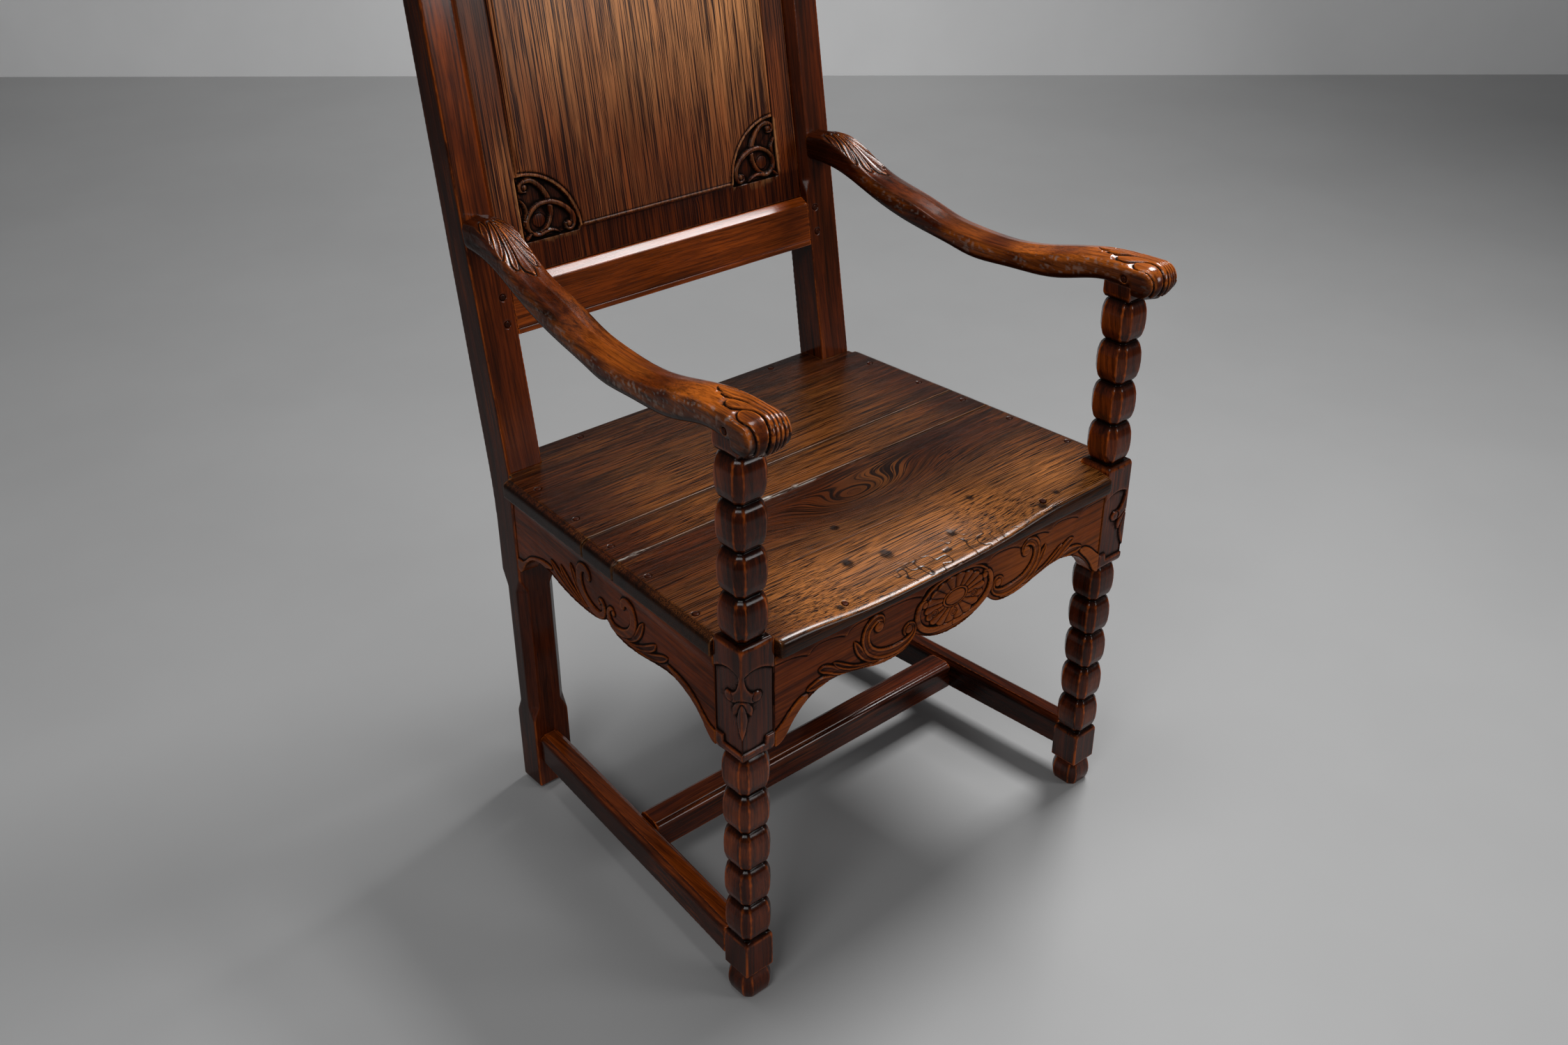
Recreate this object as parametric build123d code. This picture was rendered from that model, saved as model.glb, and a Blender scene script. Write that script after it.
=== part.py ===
"""Wainscot chair: a joined oak armchair with a panelled back.

Millimetres. +Z is up, the front faces -Y and left is -X, as seen from the front.
The pieces are drawn with the front legs' front faces at y = 0 and the floor at z = 0,
and are moved together at the end, so that the origin is under the middle of the chair.
"""
from build123d import *
import os
from math import atan2, copysign, cos, degrees, hypot, pi, radians, sin, sqrt, tan

# ---- Fits
fit = 0.15                     # gap on each side of a tenon, peg or panel edge
end_gap = 1.5                  # room left past the end of a tenon, peg or panel edge

# ---- Whole chair
leg_span = 590.0               # across the outer faces of the front legs
frame_depth = 452.0            # front legs' front faces to rear posts' front faces, at the seat
seat_height = 465.0            # floor to the top of the seat
rake = 8.87                    # degrees the back leans from upright

# ---- Front posts: foot, block, beads, apron block, beads, neck block
foot_height = 34.5
foot_width = 40.5
foot_base_width = 34.0
foot_widest = 0.55             # share of the foot's height where it is widest
low_block_width = 38.0
low_block_height = 49.0
bead_pitch = 50.0
bead_width = 42.5
bead_corner = 8.0              # leg of the cut corner of a bead
bead_notch = 6.2               # depth of the notch between two beads
bead_fullness = 2.3            # 2 makes a bead's flank an ellipse, more makes it squarer
bead_cuts = 8                  # flats that a bead's flank is pared in, from notch to notch
leg_beads = 5
arm_beads = 4
apron_block_width = 43.0
block_above_seat = 5.6         # apron block's top above the seat
neck_block_width = 37.0
neck_block_height = 20.0

# ---- Rear posts
back_opening = 440.0           # between the rear posts, above the seat
rear_post_width = 46.0         # above the seat
rear_leg_width = 51.0          # below the seat
rear_leg_depth = 39.0
rear_post_top_depth = 34.0
rear_knee_height = 417.0       # where the post's rear face starts to lean
rear_knee_radius = 600.0
rear_leg_chamfer = 10.0
chamfer_bottom = 106.0
chamfer_top = 322.0
chamfer_runout = 22.0
rear_foot_wear = 5.0
post_cap = 8.0                 # post's top above the top rail's ends
post_cap_chamfer = 5.0
post_bevel = 9.0               # bevel along the post's inner front edge, down to the panel

# ---- Back frame, with heights measured up the lean from the seat top
low_rail_bottom = 154.0
low_rail_width = 61.0
top_rail_bottom = 622.0
top_rail_width = 60.0
crest_rise = 18.0
rail_thickness = 28.0
rail_bevel = 10.0              # depth of the low rail's sloping top edge
rail_bevel_height = 8.0
rail_bead = 6.0                # scratch-moulded bead along the low rail's bottom edge
rail_bead_quirk = 1.4
panel_depth = 11.0             # panel's margin behind the post's front face
panel_thickness = 11.0         # at the margin
panel_tongue = 7.0             # thickness of the panel's edge in its groove
groove_depth = 9.0
panel_margin = 36.0
field_rise = 3.0               # field above the margin
field_edge = 2.4               # chamfer round the field
spandrel_radius = 71.0
spandrel_sink = 2.0

# ---- Seat boards
seat_thickness = 22.0
seat_front_overhang = 4.0      # side edges past the aprons' outer faces, at the front legs
seat_rear_overhang = 13.5      # and at the rear posts
seat_nose = 9.0                # front edge past the apron
seat_nose_round = 8.5
seat_edge_ledge = 8.0          # width of the sunk ledge along each side edge
seat_edge_round = 7.6
seat_edge_quirk = 1.6
seat_ear_gap = 8.0             # side edges stop this far in front of the rear posts
seat_tail = 36.0               # rear edge past the rear posts' front faces
seat_nose_gap = 1.2            # nose's ends to the front blocks
front_board_depth = 215.4      # front joint, from the front legs' front faces
middle_board_width = 59.9
board_gap = 1.0

# ---- Aprons
apron_thickness = 22.0
apron_end_drop = 109.0         # seat's underside down to the apron's lower corners
front_arch_drop = 62.0         # seat's underside down to the top of the front apron's arches
side_arch_drop = 69.0
scroll_drop = 76.0             # seat's underside down to the front apron's scrolls
side_scroll_drop = 80.0
front_scroll_width = 76.0
side_scroll_front = 82.0       # width of a side apron's front scroll
side_scroll_rear = 107.0
cartouche_drop = 79.5
cartouche_half = 56.0
rear_apron_depth = 66.0
rear_apron_setback = 13.0

# ---- Stretchers
stretcher_top = 84.0
stretcher_height = 38.0
side_stretcher_width = 30.0
side_stretcher_rear = 246.0    # middle of its rear end from the chair's middle
cross_stretcher_width = 38.0
cross_stretcher_place = 237.0  # middle, from the front legs' front faces
stretcher_round = 6.5
stretcher_quirk = 1.8

# ---- Arms
arm_width_rear = 42.0
arm_width_front = 50.0
arm_waist = 3.0                # how much narrower the arm is at half its length
arm_rear_middle = 246.0        # middle of its rear end from the chair's middle
arm_rise = 52.5                # middle of its rear tenon above its seat on the neck block
arm_scroll_radius = 21.0
arm_scroll_ahead = 10.0        # scroll's middle in front of the front legs' front faces
arm_scroll_lift = 7.4          # scroll's middle above the arm's seat
arm_scroll_sink = 1.5          # arm's underside by the front post, below its seat
arm_crown = 3.0
arm_round = 8.0
arm_under_round = 7.0

# ---- Tenons and pegs
tenon_thickness = 9.0
tenon_shoulder = 6.0           # below and above a tenon
apron_tenon = 20.0
rail_tenon = 28.0
stretcher_tenon = 20.0
cross_tenon = 16.0
arm_post_tenon_width = 14.0    # tenon on top of the front post, across the arm
arm_post_tenon_length = 30.0
arm_post_tenon_height = 15.0
arm_rear_tenon = 24.0
arm_rear_tenon_thickness = 12.0
arm_rear_tenon_height = 20.0
peg_width = 7.0                # across the flats
peg_sides = 8                  # pegs are pared to eight sides and shape their holes when driven
peg_proud = 0.4
rail_peg_length = 26.0
rail_peg_inset = 12.0          # from the rail's shoulder
rail_peg_margin = 15.0         # from the rail's top and bottom edges
arm_peg_forward = 9.5          # in front of the front post's middle
arm_peg_height = 8.0           # above the arm's seat
seat_peg_depth = 20.0          # into the apron
seat_peg_front_x = 150.0

# ---- Worked-out places
rake_angle = radians(rake)
low_block_bottom = foot_height
leg_beads_bottom = low_block_bottom + low_block_height
apron_block_bottom = leg_beads_bottom + leg_beads * bead_pitch
apron_block_top = seat_height + block_above_seat
neck_block_bottom = apron_block_top + arm_beads * bead_pitch
arm_seat = neck_block_bottom + neck_block_height
post_middle_x = (leg_span - apron_block_width) / 2
post_middle_y = apron_block_width / 2
block_inner_x = leg_span / 2 - apron_block_width
seat_underside = seat_height - seat_thickness
seat_front_x = leg_span / 2 + seat_front_overhang
rear_inner_x = back_opening / 2
rear_outer_x = rear_inner_x + rear_post_width
rear_leg_inner_x = rear_outer_x - rear_leg_width
seat_rear_x = rear_outer_x + seat_rear_overhang
low_rail_top = low_rail_bottom + low_rail_width
top_rail_top = top_rail_bottom + top_rail_width
post_top = top_rail_top + post_cap
stretcher_bottom = stretcher_top - stretcher_height
reach = 2 * leg_span           # long enough to cut right through any piece


# ---------------------------------------------------------------- helpers
def block(x, y, z):
    """A box from three (low, high) pairs."""
    size = (x[1] - x[0], y[1] - y[0], z[1] - z[0])
    return Pos(x[0], y[0], z[0]) * Box(*size, align=(Align.MIN, Align.MIN, Align.MIN))


def back_frame():
    """Frame of the leaning back: x across, y into the back, z up the lean from the seat."""
    return Pos(0, frame_depth, seat_height) * Rot(-rake, 0, 0)


def back_point(depth, up):
    """(y, z) of a point at a depth behind the posts' front faces and a height up the lean."""
    y = frame_depth + depth * cos(rake_angle) + up * sin(rake_angle)
    z = seat_height - depth * sin(rake_angle) + up * cos(rake_angle)
    return y, z


def left_of(piece):
    """The mirror image of a right-hand piece."""
    return mirror(piece, about=Plane.YZ)


def prism_y(face_xz, half):
    """Extrudes a face drawn as (x, z) both ways along y."""
    return extrude(Plane.XZ * face_xz, amount=half, both=True)


def run_frame(start, end):
    """Frame on the floor at start, with +y towards end; start and end are (x, y)."""
    turn = degrees(atan2(start[0] - end[0], end[1] - start[1]))
    return Pos(start[0], start[1], 0) * Rot(0, 0, turn)


# ---------------------------------------------------------------- front posts
def bead_prism(offset):
    """One bead's outline, widened by offset, as a prism along y."""
    notch = bead_width / 2 + offset - bead_notch
    flank = []
    for i in range(bead_cuts + 1):
        turn = pi * i / bead_cuts
        rise = copysign(abs(cos(turn)) ** (2 / bead_fullness), cos(turn))
        flank.append((notch + bead_notch * sin(turn), bead_pitch / 2 * (1 - rise)))
    other_flank = [(-x, z) for x, z in reversed(flank)]
    return prism_y(make_face(Polyline(*flank, *other_flank, flank[0])), bead_width)


def faceted(square, corner):
    """A square piece with cut corners, from its face prism and its corner prism."""
    column = square & (Rot(0, 0, 90) * square)
    column = column & (Rot(0, 0, 45) * corner)
    return column & (Rot(0, 0, 135) * corner)


def corner_offset(width, cut):
    """How much further a cut corner stands from the axis than the flat faces do."""
    return width / sqrt(2) - cut / sqrt(2) - width / 2


def bead():
    return faceted(bead_prism(0), bead_prism(corner_offset(bead_width, bead_corner)))


def foot_prism(offset):
    base = foot_base_width / 2 + offset
    widest = foot_width / 2 + offset
    neck = (bead_width / 2 - bead_notch) + offset
    side = ThreePointArc((base, 0), (widest, foot_widest * foot_height), (neck, foot_height))
    close = Polyline((neck, foot_height), (0, foot_height), (0, 0), (base, 0))
    right = prism_y(make_face(side + close), foot_width)
    return right + mirror(right, about=Plane.YZ)


def square_block(width, bottom, top):
    half = width / 2
    return block((-half, half), (-half, half), (bottom, top))


def front_post():
    """Right front post, drawn about its own axis and set in place."""
    post = faceted(foot_prism(0), foot_prism(corner_offset(foot_width, bead_corner)))
    post += square_block(low_block_width, low_block_bottom, leg_beads_bottom)
    one_bead = bead()
    for i in range(leg_beads):
        post += Pos(0, 0, leg_beads_bottom + i * bead_pitch) * one_bead
    post += square_block(apron_block_width, apron_block_bottom, apron_block_top)
    for i in range(arm_beads):
        post += Pos(0, 0, apron_block_top + i * bead_pitch) * one_bead
    post += square_block(neck_block_width, neck_block_bottom, arm_seat)
    post = Pos(post_middle_x, post_middle_y, 0) * post
    post += arm_post_tenon()
    post -= front_apron_tenon(pocket)
    post -= side_apron_run() * side_apron_front_tenon(pocket)
    post -= side_stretcher_run() * side_stretcher_front_tenon(pocket)
    return post - arm_peg_hole()


# ---------------------------------------------------------------- tenons
def tenon(x, y, z, along):
    """A tenon from three (low, high) pairs; along names the axis that it points in."""
    return block(x, y, z)


def pocket(x, y, z, along):
    """The mortise for a tenon: fit beside it and end_gap past its end."""
    spare = {axis: end_gap if axis == along else fit for axis in "xyz"}
    pairs = {"x": x, "y": y, "z": z}
    grown = {axis: (low - spare[axis], high + spare[axis]) for axis, (low, high) in pairs.items()}
    return block(grown["x"], grown["y"], grown["z"])


def middle_pair(middle, width):
    return (middle - width / 2, middle + width / 2)


def arm_post_tenon(shape=tenon):
    """Tenon on the front post's top, standing into the arm."""
    x = middle_pair(post_middle_x, arm_post_tenon_width)
    y = middle_pair(post_middle_y, arm_post_tenon_length)
    return shape(x, y, (arm_seat, arm_seat + arm_post_tenon_height), "z")


def front_apron_tenon(shape=tenon):
    x = (block_inner_x, block_inner_x + apron_tenon)
    y = middle_pair(apron_thickness / 2, tenon_thickness)
    z = (seat_underside - apron_end_drop + tenon_shoulder, seat_underside - tenon_shoulder)
    return shape(x, y, z, "x")


def rear_apron_tenon(shape=tenon):
    x = (rear_leg_inner_x, rear_leg_inner_x + apron_tenon)
    y = middle_pair(frame_depth + rear_apron_setback + apron_thickness / 2, tenon_thickness)
    z = (seat_underside - rear_apron_depth + tenon_shoulder, seat_underside - tenon_shoulder)
    return shape(x, y, z, "x")


def side_apron_run():
    """Frame with y along the right side apron's outer face, from block to rear post."""
    return run_frame((leg_span / 2, apron_block_width), (rear_outer_x, frame_depth))


side_apron_length = hypot(leg_span / 2 - rear_outer_x, frame_depth - apron_block_width)


def side_apron_tenon(y, shape):
    x = middle_pair(-apron_thickness / 2, tenon_thickness)
    z = (seat_underside - apron_end_drop + tenon_shoulder, seat_underside - tenon_shoulder)
    return shape(x, y, z, "y")


def side_apron_front_tenon(shape=tenon):
    return side_apron_tenon((-apron_tenon, tenon_thickness), shape)


def side_apron_rear_tenon(shape=tenon):
    ends = (side_apron_length - tenon_thickness, side_apron_length + apron_tenon)
    return side_apron_tenon(ends, shape)


low_block_back = post_middle_y + low_block_width / 2
stretcher_front_x = post_middle_x + (low_block_width - side_stretcher_width) / 2


def side_stretcher_run():
    """Frame with y along the right side stretcher's middle, from block to rear leg."""
    return run_frame((stretcher_front_x, low_block_back), (side_stretcher_rear, frame_depth))


side_stretcher_length = hypot(stretcher_front_x - side_stretcher_rear, frame_depth - low_block_back)


def side_stretcher_tenon(y, shape):
    z = (stretcher_bottom + tenon_shoulder, stretcher_top - stretcher_quirk - stretcher_round)
    return shape(middle_pair(0, tenon_thickness), y, z, "y")


def side_stretcher_front_tenon(shape=tenon):
    return side_stretcher_tenon((-stretcher_tenon, tenon_thickness), shape)


def side_stretcher_rear_tenon(shape=tenon):
    ends = (side_stretcher_length - tenon_thickness, side_stretcher_length + stretcher_tenon)
    return side_stretcher_tenon(ends, shape)


def stretcher_inner_x(y):
    """Right side stretcher's inner face at a distance y behind the front legs' faces."""
    share = (y - low_block_back) / (frame_depth - low_block_back)
    middle = stretcher_front_x + share * (side_stretcher_rear - stretcher_front_x)
    return middle - side_stretcher_width / 2


def cross_stretcher_tenon(shape=tenon):
    shoulder = stretcher_inner_x(cross_stretcher_place)
    y = middle_pair(cross_stretcher_place, tenon_thickness)
    z = (stretcher_bottom + tenon_shoulder, stretcher_top - stretcher_quirk - stretcher_round)
    return shape((shoulder - tenon_thickness, shoulder + cross_tenon), y, z, "x")


def rail_tenon_at(bottom, top, shape):
    """Tenon of a back rail, in the back's frame."""
    y = middle_pair(rail_thickness / 2, tenon_thickness)
    z = (bottom + tenon_shoulder, top - tenon_shoulder)
    return shape((rear_inner_x, rear_inner_x + rail_tenon), y, z, "x")


# ---------------------------------------------------------------- pegs
def peg_between(start, end, spare=0.0):
    """A peg or, with spare, its hole, between two (x, y, z) points."""
    path = Vector(*end) - Vector(*start)
    plane = Plane(origin=start, z_dir=path)
    section = RegularPolygon(peg_width / 2 + spare, peg_sides, major_radius=False)
    return extrude(plane * section, amount=path.length)


def rail_pegs(bottom, top, spare=0.0):
    """The right-hand pegs of a back rail, in the back's frame."""
    x = rear_inner_x + rail_peg_inset
    heights = (bottom + rail_peg_margin, top - rail_peg_margin)
    return [peg_between((x, -peg_proud, up), (x, rail_peg_length, up), spare) for up in heights]


def arm_peg(spare=0.0):
    """Peg through the right arm and the post's tenon, in the arm's frame."""
    along = arm_post_place + arm_peg_forward
    half = arm_width_at(along) / 2 + peg_proud
    height = arm_seat + arm_peg_height
    return peg_between((-half, along, height), (half, along, height), spare)


def arm_peg_hole():
    return arm_run() * arm_peg(fit)


# ---------------------------------------------------------------- arms
arm_rear_height = arm_seat + arm_rise
arm_rear_y = frame_depth + (arm_rear_height - seat_height) * tan(rake_angle)
arm_post_place = hypot(post_middle_x - arm_rear_middle, arm_rear_y - post_middle_y)
arm_scroll_place = arm_post_place + post_middle_y + arm_scroll_ahead
arm_hand_place = arm_post_place + neck_block_width / 2 - fit

# Where the right arm's underside and ridge run: share of the way from the rear post to the
# front post's middle, then heights above the arm's seat.
arm_stations = (
    (-0.03, 34.0, 71.5),
    (0.06, 32.0, 69.5),
    (0.13, 26.0, 62.0),
    (0.21, 12.5, 43.0),
    (0.29, -0.5, 31.0),
    (0.39, -11.5, 20.0),
    (0.51, -21.0, 6.5),
    (0.64, -25.0, 3.0),
    (0.77, -21.5, 10.0),
    (0.86, -14.0, 20.0),
    (0.94, -3.5, 26.5),
)


def arm_run():
    """Frame with y along the right arm, from the rear post to the front post's middle."""
    return run_frame((arm_rear_middle, arm_rear_y), (post_middle_x, post_middle_y))


def arm_width_at(along):
    share = along / arm_scroll_place
    straight = arm_width_rear + (arm_width_front - arm_width_rear) * share
    return straight - arm_waist * 4 * share * (1 - share)


def eased_corner(corner, size, across, up):
    """Three points that ease a corner, coming from below or above it: across and up are the
    ways from the corner back into the section."""
    x, z = corner
    sink = size * (1 - 1 / sqrt(2))
    return [(x, z + up * size), (x + across * sink, z + up * sink), (x + across * size, z)]


def arm_upper_points(half, top):
    """Upper half of a section from right to left: eased shoulders and a low ridge."""
    right = eased_corner((half, top - arm_crown), arm_round, -1, -1)
    left = [(-x, z) for x, z in reversed(right)]
    return right + [(0, top)] + left


def arm_section(along, under, top):
    """Section of the arm, upright, at a place along it."""
    half = arm_width_at(along) / 2
    lower_right = eased_corner((half, under), arm_under_round, -1, 1)
    lower_left = [(-x, z) for x, z in reversed(lower_right)]
    lower = [*reversed(lower_left), *reversed(lower_right)]
    points = arm_upper_points(half, top) + lower
    return Pos(0, along, 0) * (Plane.XZ * make_face(Polyline(*points, points[0])))


def arm_scroll():
    """The rolled hand-rest: a half turn about a line across the arm, and its run back from
    there to the front post."""
    half = arm_width_at(arm_scroll_place) / 2
    upper = arm_upper_points(half, arm_scroll_radius)
    lower = [(-x, -z) for x, z in upper]
    roll_face = make_face(Polyline(*upper, (-half, 0), (half, 0), upper[0]))
    roll = revolve(roll_face, axis=Axis.X, revolution_arc=180)
    run_face = Plane.XZ * make_face(Polyline(*upper, *lower, upper[0]))
    back = extrude(run_face, amount=arm_scroll_place - arm_hand_place)
    hand = Rot(-90, 0, 0) * roll + back
    return Pos(0, arm_scroll_place, arm_seat + arm_scroll_lift) * hand


def arm_rear_tenon_block(shape=tenon):
    """Tenon into the rear post, in the arm's frame."""
    x = middle_pair(0, arm_rear_tenon_thickness)
    z = middle_pair(arm_rear_height, arm_rear_tenon_height)
    return shape(x, (-arm_rear_tenon, tenon_thickness), z, "y")


def arm():
    """Right arm."""
    sections = []
    for share, under, top in arm_stations:
        sections.append(arm_section(share * arm_post_place, arm_seat + under, arm_seat + top))
    scroll_top = arm_seat + arm_scroll_lift + arm_scroll_radius
    for along in (arm_post_place, arm_hand_place):
        sections.append(arm_section(along, arm_seat - arm_scroll_sink, scroll_top))
    piece = arm_run() * (loft(sections) + arm_scroll())
    piece -= back_frame() * block((0, reach), (0, reach), (0, reach))
    piece += arm_run() * arm_rear_tenon_block()
    under_neck = square_block(neck_block_width, arm_seat - neck_block_height, arm_seat)
    piece -= Pos(post_middle_x, post_middle_y, 0) * under_neck
    piece -= arm_post_tenon(pocket)
    return piece - arm_peg_hole()


# ---------------------------------------------------------------- rear posts
def corner_cut(cut, bottom, top):
    """Stopped chamfer on an upright edge at the origin that points to +x."""
    deep = -cut / sqrt(2)
    outline = Polyline(
        (0, bottom), (deep, bottom + chamfer_runout), (deep, top - chamfer_runout), (0, top),
        (cut, top), (cut, bottom), (0, bottom))
    return prism_y(make_face(outline), 2 * cut)


def rear_post_slab(inner, outer):
    """The post's side outline as a slab between two distances from the chair's middle."""
    back = frame_depth + rear_leg_depth
    back_top = back_point(rear_post_top_depth, post_top)
    rear = FilletPolyline(back_top, (back, rear_knee_height), (back, 0), radius=rear_knee_radius)
    front = Polyline(
        (back, 0), (frame_depth, 0), (frame_depth, seat_height), back_point(0, post_top), back_top)
    return extrude(Plane.YZ.offset(inner) * make_face(rear + front), amount=outer - inner)


def rear_post():
    """Right rear post and leg in one."""
    leg = rear_post_slab(rear_leg_inner_x, rear_outer_x)
    leg &= block((0, reach), (0, reach), (0, seat_underside))
    post = rear_post_slab(rear_inner_x, rear_outer_x) + leg
    top_face = post.faces().sort_by(Axis.Z)[-1]
    post = chamfer(top_face.edges(), post_cap_chamfer)
    base = post.faces().sort_by(Axis.Z)[0]
    post = chamfer(base.edges(), rear_foot_wear)
    corners = (
        (rear_leg_inner_x, frame_depth, -135), (rear_outer_x, frame_depth, -45),
        (rear_leg_inner_x, frame_depth + rear_leg_depth, 135),
        (rear_outer_x, frame_depth + rear_leg_depth, 45))
    for x, y, turn in corners:
        cut = corner_cut(rear_leg_chamfer, chamfer_bottom, chamfer_top)
        post -= Pos(x, y, 0) * Rot(0, 0, turn) * cut
    bevel = corner_cut(post_bevel, low_rail_top, top_rail_bottom)
    post -= back_frame() * Pos(rear_inner_x, 0, 0) * Rot(0, 0, -135) * bevel
    post -= back_frame() * rail_tenon_at(low_rail_bottom, low_rail_top, pocket)
    post -= back_frame() * rail_tenon_at(top_rail_bottom, top_rail_top, pocket)
    groove = panel_tongue_block(rear_inner_x + groove_depth, low_rail_top, top_rail_bottom, fit)
    post -= back_frame() * groove
    post -= rear_apron_tenon(pocket)
    post -= side_apron_run() * side_apron_rear_tenon(pocket)
    post -= side_stretcher_run() * side_stretcher_rear_tenon(pocket)
    post -= arm_run() * arm_rear_tenon_block(pocket)
    for bottom, top in ((low_rail_bottom, low_rail_top), (top_rail_bottom, top_rail_top)):
        for hole in rail_pegs(bottom, top, fit):
            post -= back_frame() * hole
    return post


# ---------------------------------------------------------------- back rails and panel
def panel_tongue_block(half, bottom, top, spare=0.0):
    """The panel's thin edge, or the grooves for it, in the back's frame."""
    middle = panel_depth + panel_thickness / 2
    low, high = middle_pair(middle, panel_tongue)
    return block((-half, half), (low - spare, high + spare), (bottom, top))


def back_rail(outline, bottom, top):
    """A back rail from its front outline, with tenons, peg holes and panel groove."""
    rail = extrude(Plane.XZ * outline, amount=-rail_thickness)
    for side in (rail_tenon_at(bottom, top, tenon), left_of(rail_tenon_at(bottom, top, tenon))):
        rail += side
    for hole in rail_pegs(bottom, top, fit):
        rail -= hole
        rail -= left_of(hole)
    return rail


def rail_outline(bottom, top, upper_edge=None):
    low_left, low_right = (-rear_inner_x, bottom), (rear_inner_x, bottom)
    top_left, top_right = (-rear_inner_x, top), (rear_inner_x, top)
    upper = upper_edge if upper_edge else Line(top_right, top_left)
    sides = Polyline(top_left, low_left, low_right, top_right)
    return make_face(sides + upper)


def edge_slope(depth, height, edge):
    """Prism that slopes a rail's front edge: depth into the rail, height along its face."""
    outline = Polyline((0, edge - height), (depth, edge), (-depth, edge), (0, edge - height))
    return extrude(Plane.YZ.offset(-rear_inner_x) * make_face(outline), amount=back_opening)


def low_rail():
    rail = back_rail(rail_outline(low_rail_bottom, low_rail_top), low_rail_bottom, low_rail_top)
    rail -= edge_slope(rail_bevel, rail_bevel_height, low_rail_top)
    quirk_up = low_rail_bottom + rail_bead
    quirk = (quirk_up, quirk_up + rail_bead_quirk)
    rail -= block((-rear_inner_x, rear_inner_x), (0, rail_bead_quirk), quirk)
    rail -= panel_tongue_block(rear_inner_x, low_rail_top - groove_depth, low_rail_top, fit)
    return back_frame() * rail


def top_rail():
    crest = ThreePointArc(
        (rear_inner_x, top_rail_top), (0, top_rail_top + crest_rise), (-rear_inner_x, top_rail_top))
    rail = back_rail(rail_outline(top_rail_bottom, top_rail_top, crest), top_rail_bottom, top_rail_top)
    slope = mirror(edge_slope(post_bevel, post_bevel, 0), about=Plane.XY)
    rail -= Pos(0, 0, top_rail_bottom) * slope
    rail -= panel_tongue_block(rear_inner_x, top_rail_bottom, top_rail_bottom + groove_depth, fit)
    return back_frame() * rail


def back_panel():
    """Panel with a raised field, sunk spandrels in its corners and a thin edge all round."""
    half = rear_inner_x - fit
    bottom = low_rail_top + fit
    top = top_rail_bottom - fit
    inside = groove_depth - end_gap
    panel = block((-half, half), (panel_depth, panel_depth + panel_thickness), (bottom, top))
    panel += panel_tongue_block(rear_inner_x + inside, bottom, top)
    panel += panel_tongue_block(half, low_rail_top - inside, top_rail_bottom + inside)
    field_x = rear_inner_x - panel_margin
    field_z = (low_rail_top + panel_margin, top_rail_bottom - panel_margin)
    field_front = panel_depth - field_rise
    field = block((-field_x, field_x), (field_front, panel_depth), field_z)
    field = chamfer(field.faces().sort_by(Axis.Y)[0].edges(), field_edge)
    for x in (-field_x, field_x):
        for z in field_z:
            round_sink = Plane.XZ * Cylinder(spandrel_radius, 2 * (field_front + spandrel_sink))
            field -= Pos(x, 0, z) * round_sink
    return back_frame() * (panel + field)


# ---------------------------------------------------------------- seat
def seat_plate():
    """All three boards as one plate, with its edges moulded."""
    ear_y = frame_depth - seat_ear_gap
    block_x = block_inner_x - fit
    block_y = apron_block_width + fit
    nose_x = block_inner_x - seat_nose_gap
    post_x = rear_inner_x - fit
    post_y = frame_depth - fit
    right = [
        (nose_x, -seat_nose), (nose_x, 0), (block_x, 0), (block_x, block_y),
        (seat_front_x, block_y), (seat_rear_x, ear_y), (rear_outer_x, ear_y),
        (rear_outer_x, post_y), (post_x, post_y), (post_x, frame_depth + seat_tail)]
    left = [(-x, y) for x, y in reversed(right)]
    face = make_face(Polyline(*right, *left, right[0]))
    plate = Pos(0, 0, seat_underside) * extrude(face, amount=seat_thickness)
    quirk = (seat_height - seat_edge_quirk, seat_height)
    run = run_frame((seat_front_x, block_y), (seat_rear_x, ear_y))
    strip = run * block((-seat_edge_ledge, reach), (-block_y, reach), quirk)
    strip -= block((0, reach), (0, block_y), quirk)
    strip -= block((0, reach), (ear_y, reach + frame_depth), quirk)
    plate -= strip
    plate -= left_of(strip)
    edge_z = seat_height - seat_edge_quirk
    outer = (seat_front_x + seat_rear_x) / 2 - seat_edge_ledge / 2
    level = [edge for edge in plate.edges() if abs(edge.center().Z - edge_z) < fit]
    sides = [edge for edge in level if abs(edge.center().X) > outer and edge.length > ear_y / 2]
    plate = fillet(sides, seat_edge_round)
    nose_edges = plate.edges().filter_by(Axis.X).group_by(Axis.Y)[0]
    plate = fillet(nose_edges.sort_by(Axis.Z)[-1], seat_nose_round)
    for x, y in seat_peg_places():
        for side in (-x, x):
            plate -= peg_between((side, y, 0), (side, y, reach), fit)
    return plate


def seat_board(low, high):
    """The part of the seat plate between two distances from the front."""
    half_gap = board_gap / 2
    return seat_plate() & block((-reach, reach), (low + half_gap, high - half_gap), (0, reach))


def seat_peg_places():
    """(x, y) of the right-hand seat pegs, each over the middle of an apron."""
    front = [(seat_peg_front_x, apron_thickness / 2)]
    rear = [(seat_peg_front_x, frame_depth + rear_apron_setback + apron_thickness / 2)]
    boards = (
        (apron_block_width, front_board_depth),
        (front_board_depth, front_board_depth + middle_board_width),
        (front_board_depth + middle_board_width, frame_depth - seat_ear_gap))
    side = []
    for low, high in boards:
        count = 2 if high - low > middle_board_width + board_gap else 1
        for i in range(count):
            y = low + (high - low) * (i + 0.5) / count
            share = (y - apron_block_width) / (frame_depth - apron_block_width)
            outer = leg_span / 2 + share * (rear_outer_x - leg_span / 2)
            side.append((outer - apron_thickness / 2, y))
    return front + side + rear


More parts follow.
